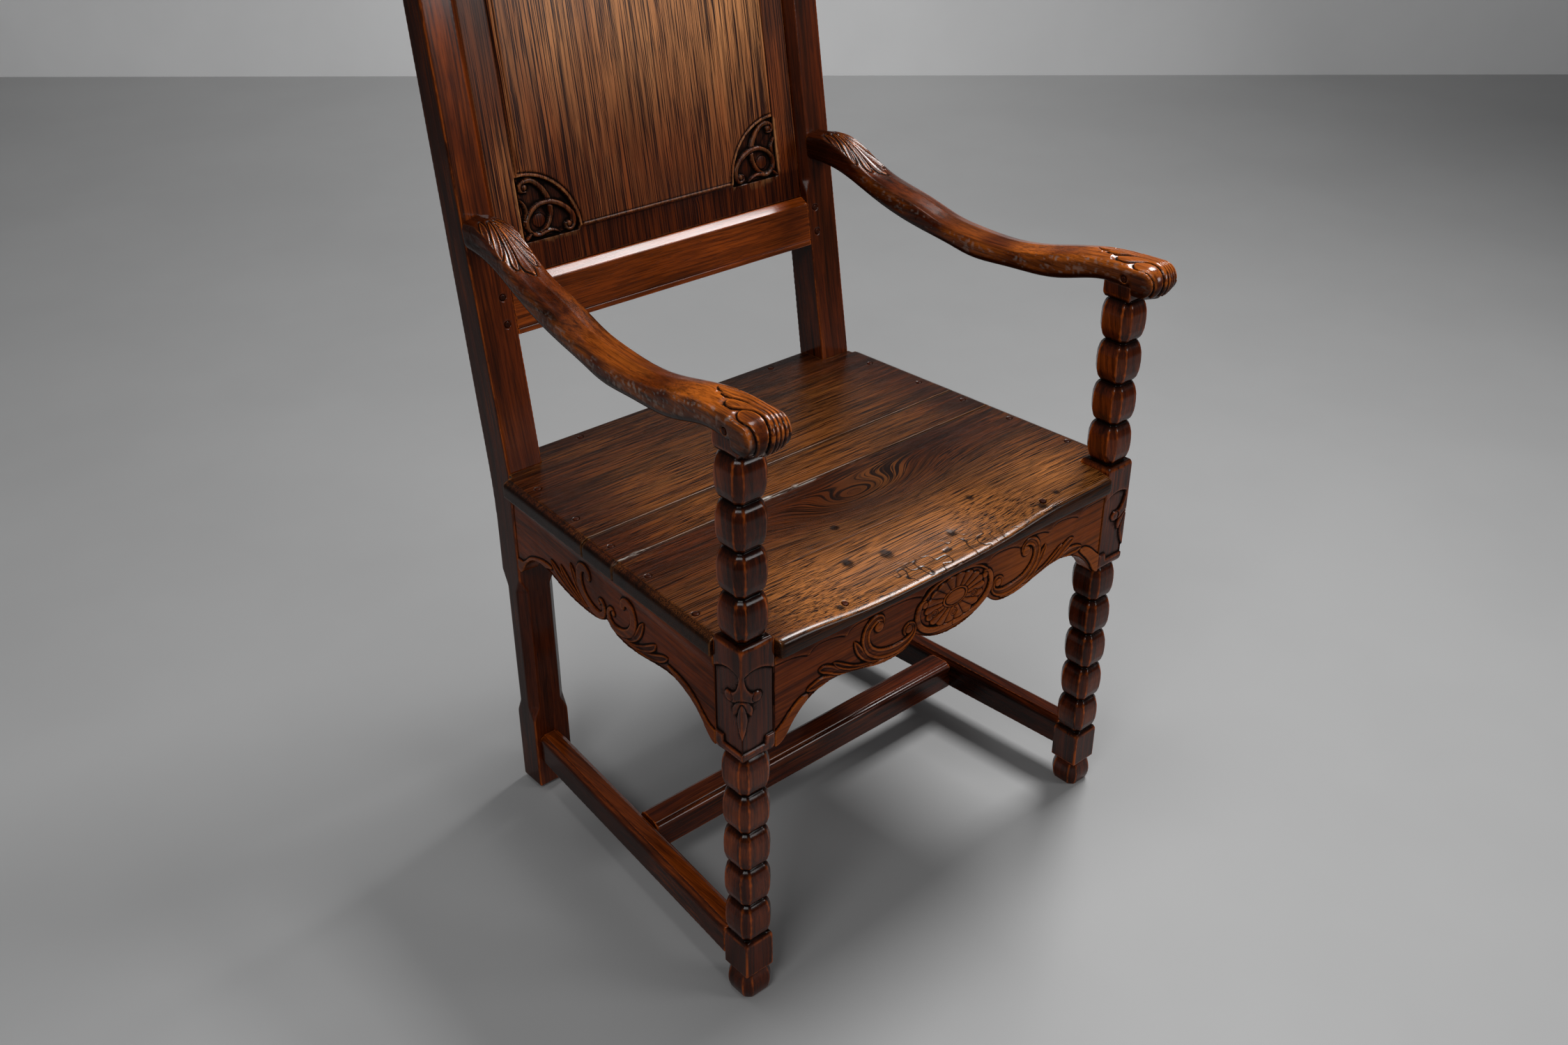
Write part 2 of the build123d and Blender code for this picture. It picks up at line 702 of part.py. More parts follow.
# ---------------------------------------------------------------- aprons
# Lower edge of an apron as shares: from its corner to the scroll and from the corner's height
# to the arch's, then from the scroll to the notch and from the scroll's height to the arch's.
arch_shape = ((0.09, 0.09), (0.18, 0.38), (0.38, 0.83), (0.62, 1.0), (1.0, 0.85))
scroll_shape = ((0.6, 0.0), (0.85, 0.36), (1.0, 1.1))


def apron_edge(corner, notch, scroll_width, scroll_bottom, arch_drop):
    """Lower edge from an end's corner over the arch and round the scroll, as (along, z)."""
    low = seat_underside - apron_end_drop
    arch = seat_underside - arch_drop
    scroll_start = notch + (scroll_width if corner > notch else -scroll_width)
    points = [(corner, low)]
    for along, up in arch_shape:
        points.append((corner + along * (scroll_start - corner), low + up * (arch - low)))
    for along, up in scroll_shape:
        place = scroll_start + along * (notch - scroll_start)
        points.append((place, scroll_bottom + up * (arch - scroll_bottom)))
    return Spline(*points)


def front_apron():
    """Front apron: two arches, two scrolls and a cartouche between them."""
    low = seat_underside - apron_end_drop
    end = block_inner_x
    scroll_bottom = seat_underside - scroll_drop
    right = apron_edge(end, cartouche_half, front_scroll_width, scroll_bottom, front_arch_drop)
    notch_x, notch_z = (right @ 1).X, (right @ 1).Y
    bottom = (0, seat_underside - cartouche_drop)
    outline = right + ThreePointArc((notch_x, notch_z), bottom, (-notch_x, notch_z))
    outline += mirror(right, about=Plane.YZ)
    outline += Polyline((-end, low), (-end, seat_underside), (end, seat_underside), (end, low))
    piece = extrude(Plane.XZ * make_face(outline), amount=-apron_thickness)
    piece += front_apron_tenon()
    piece += left_of(front_apron_tenon())
    return drill_seat_pegs(piece)


def side_apron():
    """Right side apron: two arches with a pair of scrolls between them."""
    low = seat_underside - apron_end_drop
    length = side_apron_length
    over = 2 * apron_thickness
    scroll_bottom = seat_underside - side_scroll_drop
    front = apron_edge(0, length / 2, side_scroll_front, scroll_bottom, side_arch_drop)
    rear = apron_edge(length, length / 2, side_scroll_rear, scroll_bottom, side_arch_drop)
    top = seat_underside
    rest = Polyline(
        (length, low), (length + over, low), (length + over, top), (-over, top), (-over, low),
        (0, low))
    piece = extrude(Plane.YZ * make_face(front + rear + rest), amount=-apron_thickness)
    piece = side_apron_run() * piece
    piece &= block((0, reach), (apron_block_width, frame_depth), (0, reach))
    piece += side_apron_run() * side_apron_front_tenon()
    piece += side_apron_run() * side_apron_rear_tenon()
    return drill_seat_pegs(piece)


def rear_apron():
    x = (-rear_leg_inner_x, rear_leg_inner_x)
    y = (frame_depth + rear_apron_setback, frame_depth + rear_apron_setback + apron_thickness)
    piece = block(x, y, (seat_underside - rear_apron_depth, seat_underside))
    piece += rear_apron_tenon()
    piece += left_of(rear_apron_tenon())
    return drill_seat_pegs(piece)


def drill_seat_pegs(piece):
    """Cuts the holes for the seat pegs that lie over an apron."""
    bottom = seat_underside - seat_peg_depth - end_gap
    for x, y in seat_peg_places():
        for side in (-x, x):
            piece -= peg_between((side, y, bottom), (side, y, seat_height), fit)
    return piece


# ---------------------------------------------------------------- stretchers
def stretcher_section(width):
    """Section with a rounded, quirked edge at each top corner, as (x, z)."""
    half = width / 2
    ledge = stretcher_top - stretcher_quirk
    sink = stretcher_round * (1 - 1 / sqrt(2))
    curve = Polyline((0, stretcher_bottom), (half, stretcher_bottom), (half, ledge - stretcher_round))
    inner = half - stretcher_round
    curve += ThreePointArc((half, ledge - stretcher_round), (half - sink, ledge - sink), (inner, ledge))
    curve += Polyline((inner, ledge), (inner, stretcher_top), (0, stretcher_top))
    return make_face(curve + mirror(curve, about=Plane.YZ))


def side_stretcher():
    """Right side stretcher."""
    over = side_stretcher_width
    section = Plane.XZ * stretcher_section(side_stretcher_width)
    bar = extrude(section, amount=-(side_stretcher_length + 2 * over))
    bar = side_stretcher_run() * Pos(0, -over, 0) * bar
    bar &= block((0, reach), (low_block_back, frame_depth), (0, reach))
    bar += side_stretcher_run() * side_stretcher_front_tenon()
    bar += side_stretcher_run() * side_stretcher_rear_tenon()
    return bar - cross_stretcher_tenon(pocket)


def cross_stretcher():
    half = stretcher_front_x
    bar = extrude(Plane.XZ * stretcher_section(cross_stretcher_width), amount=-2 * half)
    bar = Pos(-half, cross_stretcher_place, 0) * Rot(0, 0, -90) * bar
    inner = side_stretcher_width / 2
    beyond = side_stretcher_run() * block((-inner, reach), (0, side_stretcher_length), (0, reach))
    bar -= beyond
    bar -= left_of(beyond)
    bar += cross_stretcher_tenon()
    return bar + left_of(cross_stretcher_tenon())


# ---------------------------------------------------------------- all pieces
def peg_group(pegs):
    """Right-hand pegs with their left-hand mirror images, as separate solids."""
    both = [side for peg in pegs for side in (peg, left_of(peg))]
    return Compound(children=[side.solid() for side in both])


def build_pieces():
    """Every node's name with its shape, in the drawing's place."""
    low_pegs = [back_frame() * peg for peg in rail_pegs(low_rail_bottom, low_rail_top)]
    top_pegs = [back_frame() * peg for peg in rail_pegs(top_rail_bottom, top_rail_top)]
    seat_pegs = [
        peg_between((x, y, seat_underside - seat_peg_depth), (x, y, seat_height + peg_proud))
        for x, y in seat_peg_places()]
    middle_joint = front_board_depth + middle_board_width
    pieces = {
        "back_bottom_rail": low_rail(),
        "top_rail": top_rail(),
        "back_panel": back_panel(),
        "seat_board_front": seat_board(-reach, front_board_depth),
        "seat_board_middle": seat_board(front_board_depth, middle_joint),
        "seat_board_rear": seat_board(middle_joint, reach),
        "front_apron": front_apron(),
        "rear_apron": rear_apron(),
        "cross_stretcher": cross_stretcher(),
        "back_rail_pegs": peg_group(low_pegs),
        "top_rail_pegs": peg_group(top_pegs),
        "arm_pegs": peg_group([arm_run() * arm_peg()]),
        "seat_pegs": peg_group(seat_pegs),
    }
    paired = {
        "front_post": front_post(), "rear_post": rear_post(), "arm": arm(),
        "side_apron": side_apron(), "side_stretcher": side_stretcher(),
    }
    for name, piece in paired.items():
        pieces[name + "_right"] = piece
        pieces[name + "_left"] = left_of(piece)
    return pieces


def export_all():
    """Moves the chair so that the origin is under its middle, and writes one STEP per node."""
    os.makedirs("parts", exist_ok=True)
    pieces = build_pieces()
    boxes = [piece.bounding_box() for piece in pieces.values()]
    front = min(box.min.Y for box in boxes)
    back = max(box.max.Y for box in boxes)
    to_middle = Pos(0, -(front + back) / 2, 0)
    for name, piece in pieces.items():
        export_step(to_middle * piece, f"parts/{name}.step")
    print("front", round(front, 2), "back", round(back, 2), "moved by", round(-(front + back) / 2, 3))


export_all()
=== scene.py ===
import math
from typing import NamedTuple

import bmesh
import bpy
import numpy as np
from bpy.props import FloatProperty, FloatVectorProperty, PointerProperty
from mathutils import Matrix, Vector


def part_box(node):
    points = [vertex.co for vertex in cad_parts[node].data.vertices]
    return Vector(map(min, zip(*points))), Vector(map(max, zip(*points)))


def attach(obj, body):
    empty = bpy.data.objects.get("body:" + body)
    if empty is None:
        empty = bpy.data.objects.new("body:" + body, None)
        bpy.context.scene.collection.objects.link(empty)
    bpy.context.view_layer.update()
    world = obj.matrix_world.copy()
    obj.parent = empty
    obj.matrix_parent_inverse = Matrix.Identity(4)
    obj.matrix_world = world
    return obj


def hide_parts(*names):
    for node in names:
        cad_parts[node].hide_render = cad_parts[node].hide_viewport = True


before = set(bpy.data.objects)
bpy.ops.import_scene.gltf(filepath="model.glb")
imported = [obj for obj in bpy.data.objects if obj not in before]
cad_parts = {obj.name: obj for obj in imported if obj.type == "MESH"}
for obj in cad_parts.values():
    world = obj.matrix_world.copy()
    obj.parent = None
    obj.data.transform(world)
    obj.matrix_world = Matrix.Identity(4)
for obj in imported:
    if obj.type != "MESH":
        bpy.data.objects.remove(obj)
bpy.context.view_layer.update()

bl_info = {
    "name": "Wainscot Chair",
    "version": (1, 0, 0),
    "blender": (4, 5, 0),
    "location": "3D View > Sidebar > Wainscot Chair",
    "description": "Carved, worn and waxed oak for a joined armchair",
    "category": "Add Mesh",
}

MM = 0.001
MOST_TRIANGLES = 190000        # in one piece
LIBRARY_TAB = "Wainscot Chair"


# ---------------------------------------------------------------- settings
def painted(red, green, blue):
    """A colour as it shows on a screen, from 0 to 255, as linear light."""
    shares = (red / 255, green / 255, blue / 255)
    return tuple(s / 12.92 if s < 0.0405 else ((s + 0.055) / 1.055) ** 2.4 for s in shares)


def colour(name, shade, description):
    """A setting for a colour, given as it shows on a screen."""
    return FloatVectorProperty(
        name=name, description=description, default=painted(*shade), subtype="COLOR", size=3,
        min=0.0, max=1.0)


def length(name, millimetres, description):
    """A setting for a length, given in millimetres."""
    return FloatProperty(
        name=name, description=description, default=millimetres * MM, unit="LENGTH",
        subtype="DISTANCE", min=0.0)


class WAINSCOT_PG_oak(bpy.types.PropertyGroup):
    """Colours of the waxed oak, by where it is on the chair."""

    frame_dark: colour("Frame, dark", (28, 8, 2), "Dark grain of the posts, rails and stretchers")
    frame_mid: colour("Frame, middle", (84, 31, 7), "Body of the posts, rails and stretchers")
    # Also the colour of the faint painted sheen on the rear posts.
    frame_worn: colour("Frame, worn", (168, 78, 20), "Rubbed edges of the posts, rails and stretchers")
    apron_dark: colour("Aprons, dark", (46, 17, 4), "Dark grain of the aprons")
    apron_mid: colour("Aprons, middle", (118, 48, 9), "Body of the aprons")
    apron_worn: colour("Aprons, worn", (150, 76, 24), "Rubbed carving of the aprons")
    panel_dark: colour("Panel, dark", (42, 12, 3), "Dark grain of the back panel")
    panel_mid: colour("Panel, middle", (118, 50, 14), "Body of the back panel")
    # Also the colour of the painted sheen that makes the field pale towards its top.
    panel_worn: colour("Panel, worn", (228, 156, 96), "Rubbed parts of the back panel")
    seat_dark: colour("Seat, dark", (26, 9, 3), "Dark grain lines of the seat boards")
    seat_mid: colour("Seat, middle", (70, 30, 9), "Body of the seat boards")
    seat_worn: colour("Seat, worn", (160, 98, 44), "Rubbed parts of the seat boards")
    arm_dark: colour("Arms, dark", (28, 8, 2), "Dark grain of the arms")
    arm_mid: colour("Arms, middle", (76, 27, 5), "Body of the arms")
    arm_worn: colour("Arms, worn", (170, 88, 26), "Rubbed tops and edges of the arms")
    peg_dark: colour("Pegs, dark", (22, 8, 4), "Dark grain of the pegs' ends")
    peg_mid: colour("Pegs, middle", (50, 20, 8), "Body of the pegs' ends")
    hollow: colour("Hollows", (12, 5, 3), "Old wax and dirt in every hollow")
    dust: colour("Dust", (172, 166, 158), "Dry wax and dust in the seat's joints")


class WAINSCOT_PG_shape(bpy.types.PropertyGroup):
    """Sizes of the wear and the carving."""

    edge_reach: length("Edge wear", 1.3, "How far the rubbed edges are rounded")
    hand_waves: length("Hand-planed waves", 0.35, "Height of the unevenness left by hand tools")
    ground: length("Carving depth", 2.2, "Depth of the carving's ground below the surface")
    margin: length("Apron margin", 435.0, "Height of the plain margin over the aprons' carving")
    field_half: length("Field's half width", 184.0, "From the middle of the back to the field's edge")
    field_low: length("Field's bottom", 251.0, "Up the lean, from the seat's top")
    field_high: length("Field's top", 586.0, "Up the lean, from the seat's top")
    spandrel: length("Spandrel radius", 71.0, "Radius of the sunk corners of the field")
    arm_rear_across: length("Arm's rear end", 246.0, "From the middle of the chair")
    arm_rear_back: length("Arm's rear end, back", 215.2, "Behind the middle of the chair")
    lean: FloatProperty(
        name="Lean", description="Angle that the back leans from upright",
        default=math.radians(8.87), unit="ROTATION", subtype="ANGLE")


class WAINSCOT_PG_stage(bpy.types.PropertyGroup):
    """The floor, the wall and the camera."""

    floor: colour("Floor", (145, 145, 145), "Pale floor")
    wall: colour("Wall", (228, 228, 228), "Pale wall")
    camera_place: FloatVectorProperty(
        name="Camera", description="Where the camera stands", size=3, unit="LENGTH",
        subtype="TRANSLATION", default=(-1.0364, -1.19769, 1.3016))
    camera_turn: FloatProperty(
        name="Camera turn", description="Camera's turn to the right of straight back",
        default=math.radians(40.943), unit="ROTATION", subtype="ANGLE")
    camera_dip: FloatProperty(
        name="Camera dip", description="Camera's tilt below the level",
        default=math.radians(30.336), unit="ROTATION", subtype="ANGLE")
    camera_roll: FloatProperty(
        name="Camera roll", description="Camera's roll about its own line of sight",
        default=math.radians(-0.096), unit="ROTATION", subtype="ANGLE")
    lens: FloatProperty(
        name="Lens", description="Focal length for a sensor 36 mm wide", default=35.13,
        unit="CAMERA", min=1.0)


def size(name):
    """A size of the wear or the carving, in millimetres."""
    return getattr(bpy.context.scene.wainscot_shape, name) / MM


# ---------------------------------------------------------------- array helpers
def step(value, low, high):
    """0 below low, 1 above high and smooth between; low may be the larger."""
    share = np.clip((value - low) / (high - low), 0, 1)
    return share * share * (3 - 2 * share)


def bell(value, width):
    """1 at 0, fading to 0 over about twice the width to either side."""
    return np.exp(-(value / width) ** 2)


def spot(across, along, middle, half):
    """1 in the middle of an oval spot, fading to 0 past its half sizes."""
    return np.exp(-((across - middle[0]) / half[0]) ** 2 - ((along - middle[1]) / half[1]) ** 2)


def drift(points, spread, seed):
    """Smooth noise from -1 to 1, with features about as large as the spread, in millimetres."""
    cells = 24
    table = np.random.default_rng(seed).uniform(-1, 1, (cells, cells, cells))
    place = points / spread
    low = np.floor(place).astype(int)
    part = place - low
    part = part * part * (3 - 2 * part)
    total = np.zeros(len(points))
    for corner in np.ndindex(2, 2, 2):
        weight = np.prod(np.where(corner, part, 1 - part), axis=1)
        at = (low + corner) % cells
        total += weight * table[at[:, 0], at[:, 1], at[:, 2]]
    return total


def smoothed(points, edges, rounds):
    """The points, each moved halfway to the middle of its neighbours, that many times."""
    first, second = edges[:, 0], edges[:, 1]
    count = len(points)
    neighbours = np.bincount(first, minlength=count) + np.bincount(second, minlength=count)
    for _ in range(rounds):
        middle = np.empty_like(points)
        for axis in range(3):
            middle[:, axis] = (
                np.bincount(first, points[second, axis], count)
                + np.bincount(second, points[first, axis], count)) / neighbours
        points = (points + middle) / 2
    return points


# ---------------------------------------------------------------- carving
FORM_EDGE = 0.35        # half width of the soft step at the edge of a carved form
MOAT = 1.3              # how far past that edge a form cuts into what lies under it
MOAT_FLOOR = 0.35       # the share of the lower form that is left there
THINNEST = 0.4          # least half width that a band's profile is drawn over
# A band's height as a share, from its middle line, where away is 0, to its edge, where it is 1.
PROFILES = {
    "round": lambda away: 0.62 + 0.38 * np.sqrt(1 - away ** 2),
    "channel": lambda away: 0.95 - 0.5 * step(away, 0.72, 0.3) - 0.15 * step(away, 0.9, 1.0),
    "flat": lambda away: 1 - 0.12 * step(away, 0.7, 1.0),
}


def smooth_line(stops, apart=0.7):
    """Samples on a smooth curve through the stops; a stop is (across, up, half width)."""
    stops = np.array(stops, float)
    run = np.vstack([2 * stops[0] - stops[1], stops, 2 * stops[-1] - stops[-2]])
    samples = []
    for before, start, stop, after in zip(run, run[1:], run[2:], run[3:]):
        count = max(2, int(np.hypot(*(stop - start)[:2]) / apart))
        t = np.arange(count)[:, None] / count
        samples.append(
            start + 0.5 * t * (stop - before + t * (
                2 * before - 5 * start + 4 * stop - after
                + t * (3 * start - before - 3 * stop + after))))
    samples.append(stops[-1:])
    return np.vstack(samples)


def placed(stops, start, way):
    """The stops counted across from a start, to the right, or to the left where way is -1."""
    return [(start + way * across, up, half) for across, up, half in stops]


def turned_over(stops):
    """The stops mirrored about the line where up is 0."""
    return [(across, -up, half) for across, up, half in stops]


def swapped(stops):
    """The stops mirrored about the diagonal."""
    return [(up, across, half) for across, up, half in stops]


class Relief:
    """Heights of carving on a face; each new form lies over the earlier ones."""

    def __init__(self, places, height):
        self.places = places
        self.full = height
        self.heights = np.zeros(len(places))
        self.away = np.full(len(places), np.inf)

    def depths(self, sunk):
        """How deep the face lies under its first level, where the ground is sunk by a share."""
        return np.maximum(self.full * sunk - self.heights, 0)

    def lay(self, chosen, outside, form):
        """Puts a form on chosen places: outside is the distance past its edge and form its
        height as a share."""
        moat = MOAT_FLOOR + (1 - MOAT_FLOOR) * step(outside, 0.0, MOAT)
        cover = step(outside, FORM_EDGE, -FORM_EDGE)
        self.away[chosen] = np.minimum(self.away[chosen], outside)
        under = self.heights[chosen] * np.where(outside > -FORM_EDGE, moat, 1)
        self.heights[chosen] = under * (1 - cover) + self.full * form * cover

    def near(self, low, high, margin=2.0):
        """Which places lie in that rectangle or close to it."""
        low, high = np.array(low) - margin, np.array(high) + margin
        return np.flatnonzero(np.all((self.places > low) & (self.places < high), axis=1))

    def stroke(self, stops, kind="round", level=1.0):
        """A band along a smooth line: round, flat, or a channel between two rims."""
        line = smooth_line(stops)
        reach = line[:, 2].max()
        chosen = self.near(line[:, :2].min(axis=0) - reach, line[:, :2].max(axis=0) + reach)
        if not len(chosen):
            return
        best = np.full(len(chosen), np.inf)
        half = np.ones(len(chosen))
        for across, up, width in line:
            away = np.hypot(self.places[chosen, 0] - across, self.places[chosen, 1] - up) - width
            closer = away < best
            best[closer] = away[closer]
            half[closer] = width
        share = np.clip(best / np.maximum(half, THINNEST) + 1, 0, 1)
        self.lay(chosen, best, level * PROFILES[kind](share))

    def ball(self, across, up, radius, level=1.0):
        """A round boss."""
        chosen = self.near((across - radius, up - radius), (across + radius, up + radius))
        away = np.hypot(self.places[chosen, 0] - across, self.places[chosen, 1] - up)
        form = 0.55 + 0.45 * np.sqrt(np.clip(1 - (away / radius) ** 2, 0, 1))
        self.lay(chosen, away - radius, level * form)


# ---------------------------------------------------------------- pieces
WELD = 0.001 * MM               # corners of a CAD mesh closer than this are one
PEG_MARGIN = 1.5                # wood round a peg that stays sharp
NEAR, WIDE = 1.6, 3.2           # reach of the two smoothings that edges and hollows are told by
# How far the surface must stand out past a smoothing, or sink, for wear or dirt to start and be full.
RUBBED_NEAR, RUBBED_WIDE = (0.14, 0.46), (0.4, 1.2)
DIRTY_NEAR, DIRTY_WIDE = (0.05, 0.34), (0.3, 1.0)


def node_box(node):
    """A CAD node's lowest and highest corners, in millimetres."""
    low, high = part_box(node)
    return np.array(low) / MM, np.array(high) / MM


def solid_boxes(node):
    """The box of each separate solid in a CAD node, as pairs of corners in millimetres."""
    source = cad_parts[node]
    shape = bmesh.new()
    shape.from_mesh(source.data)
    bmesh.ops.remove_doubles(shape, verts=shape.verts, dist=WELD)
    left = set(shape.verts)
    boxes = []
    while left:
        solid = [left.pop()]
        for vert in solid:
            beside = {edge.other_vert(vert) for edge in vert.link_edges} & left
            left -= beside
            solid.extend(beside)
        corners = np.array([source.matrix_world @ vert.co for vert in solid]) / MM
        boxes.append((corners.min(axis=0), corners.max(axis=0)))
    shape.free()
    return boxes


def fine_mesh(node, cell):
    """A CAD node's shape as an even mesh with cells of that size, in millimetres."""
    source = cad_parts[node]
    mesh = source.data.copy()
    mesh.transform(source.matrix_world)
    shape = bmesh.new()
    shape.from_mesh(mesh)
    bmesh.ops.remove_doubles(shape, verts=shape.verts, dist=WELD)
    shape.to_mesh(mesh)
    shape.free()
    holder = bpy.data.objects.new(node, mesh)
    bpy.context.scene.collection.objects.link(holder)
    cells = holder.modifiers.new("cells", "REMESH")
    cells.mode = "VOXEL"
    cells.voxel_size = cell * MM
    cells.use_smooth_shade = True
    ready = holder.evaluated_get(bpy.context.evaluated_depsgraph_get())
    fine = bpy.data.meshes.new_from_object(ready)
    bpy.data.objects.remove(holder)
    return fine


class Piece:
    """One wooden piece: a fine mesh of a CAD node, to be worn, carved and finished."""

    def __init__(self, node, cell, seed):
        self.node = node
        self.seed = seed
        self.cell = cell * 1.0
        self.mesh = fine_mesh(node, self.cell)
        self.points = np.empty(3 * len(self.mesh.vertices), np.float32)
        self.mesh.vertices.foreach_get("co", self.points)
        self.points = self.points.reshape(-1, 3).astype(float) / MM
        self.edges = np.empty(2 * len(self.mesh.edges), np.int32)
        self.mesh.edges.foreach_get("vertices", self.edges)
        self.edges = self.edges.reshape(-1, 2)
        self.keen = 1.0         # how readily its edges show wear
        self.rub = np.ones(len(self.points))
        # wear, and on the back panel and the rear posts a painted sheen
        self.touch = np.zeros(len(self.points))
        # dirt, and in places painted shade
        self.grime = np.zeros(len(self.points))
        self.dust = np.zeros(len(self.points))

    def store(self):
        """Writes the points back to the mesh."""
        self.mesh.vertices.foreach_set("co", (self.points * MM).astype(np.float32).ravel())
        self.mesh.update()

    def normals(self):
        """Where the surface faces at each point."""
        self.store()
        out = np.empty(3 * len(self.points), np.float32)
        self.mesh.vertex_normals.foreach_get("vector", out)
        return out.reshape(-1, 3).astype(float)

    def rounds(self, reach):
        """How many smoothing rounds reach that far, in millimetres."""
        return max(1, round(4 * (reach / self.cell) ** 2))

    def soften(self, reach, pegs=()):
        """Rounds the edges and corners, as years of rubbing do, but not close to a peg."""
        worn = smoothed(self.points, self.edges, self.rounds(reach))
        tight = smoothed(self.points, self.edges, 1)
        for start, stop in pegs:
            middle, half = (start + stop) / 2, (stop - start) / 2
            close = np.all(np.abs(self.points - middle) < half + PEG_MARGIN, axis=1)
            worn[close] = tight[close]
            self.rub[close] = 0
        self.points = worn

    def wave(self, height, spread):
        """Sinks the surface unevenly, as hand tools leave it, by no more than the height."""
        push = height * (drift(self.points, spread, self.seed) - 1) / 2
        self.points += push[:, None] * self.normals()

    def press(self, facing, depths, normals):
        """Pushes the surface that faces that way straight in, by a depth at each point."""
        facing = np.array(facing, float)
        weight = step(normals @ facing, 0.35, 0.65)
        self.points -= (depths * weight)[:, None] * facing

    def lay_dirt_and_shade(self, grime):
        """Lays dirt and painted shade on the piece where it isn't darker already."""
        self.grime = np.maximum(self.grime, grime)

    def finish(self, slot, along, across, deep):
        """Works out the wear and hollows, stores them for the material and shows the piece."""
        normals = self.normals()
        near = smoothed(self.points, self.edges, self.rounds(NEAR))
        wide = smoothed(near, self.edges, self.rounds(WIDE))
        bulge_near = np.sum((self.points - near) * normals, axis=1)
        bulge_wide = np.sum((self.points - wide) * normals, axis=1)
        edge = 0.9 * step(bulge_near * self.keen, *RUBBED_NEAR) + 0.25 * step(bulge_wide, *RUBBED_WIDE)
        edge = edge * self.rub
        hollow = step(-bulge_near, *DIRTY_NEAR) + 0.2 * step(-bulge_wide, *DIRTY_WIDE)
        offset = np.random.default_rng(self.seed).uniform(0, 5, 3)
        grain = np.stack([along, across, deep], axis=1) * MM + offset
        for name, values in (
                ("edge", edge), ("hollow", hollow),
                ("touch", self.touch), ("grime", self.grime), ("dust", self.dust)):
            layer = self.mesh.attributes.new(name, "FLOAT", "POINT")
            layer.data.foreach_set("value", np.clip(values, 0, 1).astype(np.float32))
        layer = self.mesh.attributes.new("grain", "FLOAT_VECTOR", "POINT")
        layer.data.foreach_set("vector", grain.astype(np.float32).ravel())
        show(self.node + "_oak", self.mesh, slot_oak(slot), self.node)


def show(name, mesh, material, node):
    """Puts a finished mesh into the scene in a CAD node's place."""
    piece = bpy.data.objects.new(name, mesh)
    bpy.context.scene.collection.objects.link(piece)
    triangles = sum(len(face.vertices) - 2 for face in mesh.polygons)
    if triangles > MOST_TRIANGLES:
        fewer = piece.modifiers.new("fewer", "DECIMATE")
        fewer.ratio = MOST_TRIANGLES / triangles
        ready = piece.evaluated_get(bpy.context.evaluated_depsgraph_get())
        light = bpy.data.meshes.new_from_object(ready)
        piece.modifiers.clear()
        piece.data = light
    piece.data.name = name
    piece.data.materials.clear()
    piece.data.materials.append(material)
    piece.data.shade_smooth()
    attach(piece, "root")
    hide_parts(node)


# ---------------------------------------------------------------- materials
class Recipe:
    """Builds a material's nodes."""

    def __init__(self, name):
        self.material = bpy.data.materials.new(name)
        self.material.use_nodes = True
        self.tree = self.material.node_tree
        self.shader = self.tree.nodes["Principled BSDF"]

    def set(self, socket, value):
        """Links a socket to an output, or writes a plain value on it."""
        if isinstance(value, bpy.types.NodeSocket):
            self.tree.links.new(value, socket)
        elif isinstance(value, (tuple, list)) and len(value) == 3 and socket.type == "RGBA":
            socket.default_value = (*value, 1.0)
        else:
            socket.default_value = value

    def attribute(self, name, output="Fac"):
        node = self.tree.nodes.new("ShaderNodeAttribute")
        node.attribute_name = name
        return node.outputs[output]

    def stretch(self, vector, scale):
        node = self.tree.nodes.new("ShaderNodeVectorMath")
        node.operation = "MULTIPLY"
        self.set(node.inputs[0], vector)
        node.inputs[1].default_value = scale
        return node.outputs[0]

    def add(self, vector, other):
        node = self.tree.nodes.new("ShaderNodeVectorMath")
        node.operation = "ADD"
        self.set(node.inputs[0], vector)
        self.set(node.inputs[1], other)
        return node.outputs[0]

    def noise(self, vector, scale=1.0, detail=2.0, rough=0.5, output="Fac"):
        node = self.tree.nodes.new("ShaderNodeTexNoise")
        self.set(node.inputs["Vector"], vector)
        node.inputs["Scale"].default_value = scale
        node.inputs["Detail"].default_value = detail
        node.inputs["Roughness"].default_value = rough
        return node.outputs[output]

    def math(self, operation, first, second=0.0, clamp=False):
        node = self.tree.nodes.new("ShaderNodeMath")
        node.operation = operation
        node.use_clamp = clamp
        self.set(node.inputs[0], first)
        self.set(node.inputs[1], second)
        return node.outputs[0]

    def span(self, value, low, high, to_low=0.0, to_high=1.0):
        """Maps low..high to the new range, smoothly and clamped."""
        node = self.tree.nodes.new("ShaderNodeMapRange")
        node.interpolation_type = "SMOOTHSTEP"
        self.set(node.inputs["Value"], value)
        node.inputs["From Min"].default_value = low
        node.inputs["From Max"].default_value = high
        node.inputs["To Min"].default_value = to_low
        node.inputs["To Max"].default_value = to_high
        return node.outputs["Result"]

    def mix(self, share, first, second, blend="MIX"):
        node = self.tree.nodes.new("ShaderNodeMix")
        node.data_type = "RGBA"
        node.blend_type = blend
        self.set(node.inputs[0], share)
        self.set(node.inputs[6], first)
        self.set(node.inputs[7], second)
        return node.outputs[2]

    def bump(self, height, distance, strength=1.0, under=None):
        node = self.tree.nodes.new("ShaderNodeBump")
        node.inputs["Strength"].default_value = strength
        node.inputs["Distance"].default_value = distance
        self.set(node.inputs["Height"], height)
        if under:
            self.set(node.inputs["Normal"], under)
        return node.outputs["Normal"]


# ---------------------------------------------------------------- oak
class Finish(NamedTuple):
    """How a slot's oak is made: its tones by name, then its grain, gloss and wax."""

    dark: str
    mid: str
    worn: str
    contrast: float = 0.8               # of the growth bands
    gloss: float = 0.17                 # roughness of the wax
    dash: tuple = (20.0, 420.0)         # dark dashes in a metre, along and across the grain
    dashed: float = 0.35                # how dark the dashes are
    wax: float = 0.5                    # weight of the clear coat
    sway: float = 0.010                 # how far the grain wanders, in metres
    patchy: float = 0.4                 # how strong the light patches are


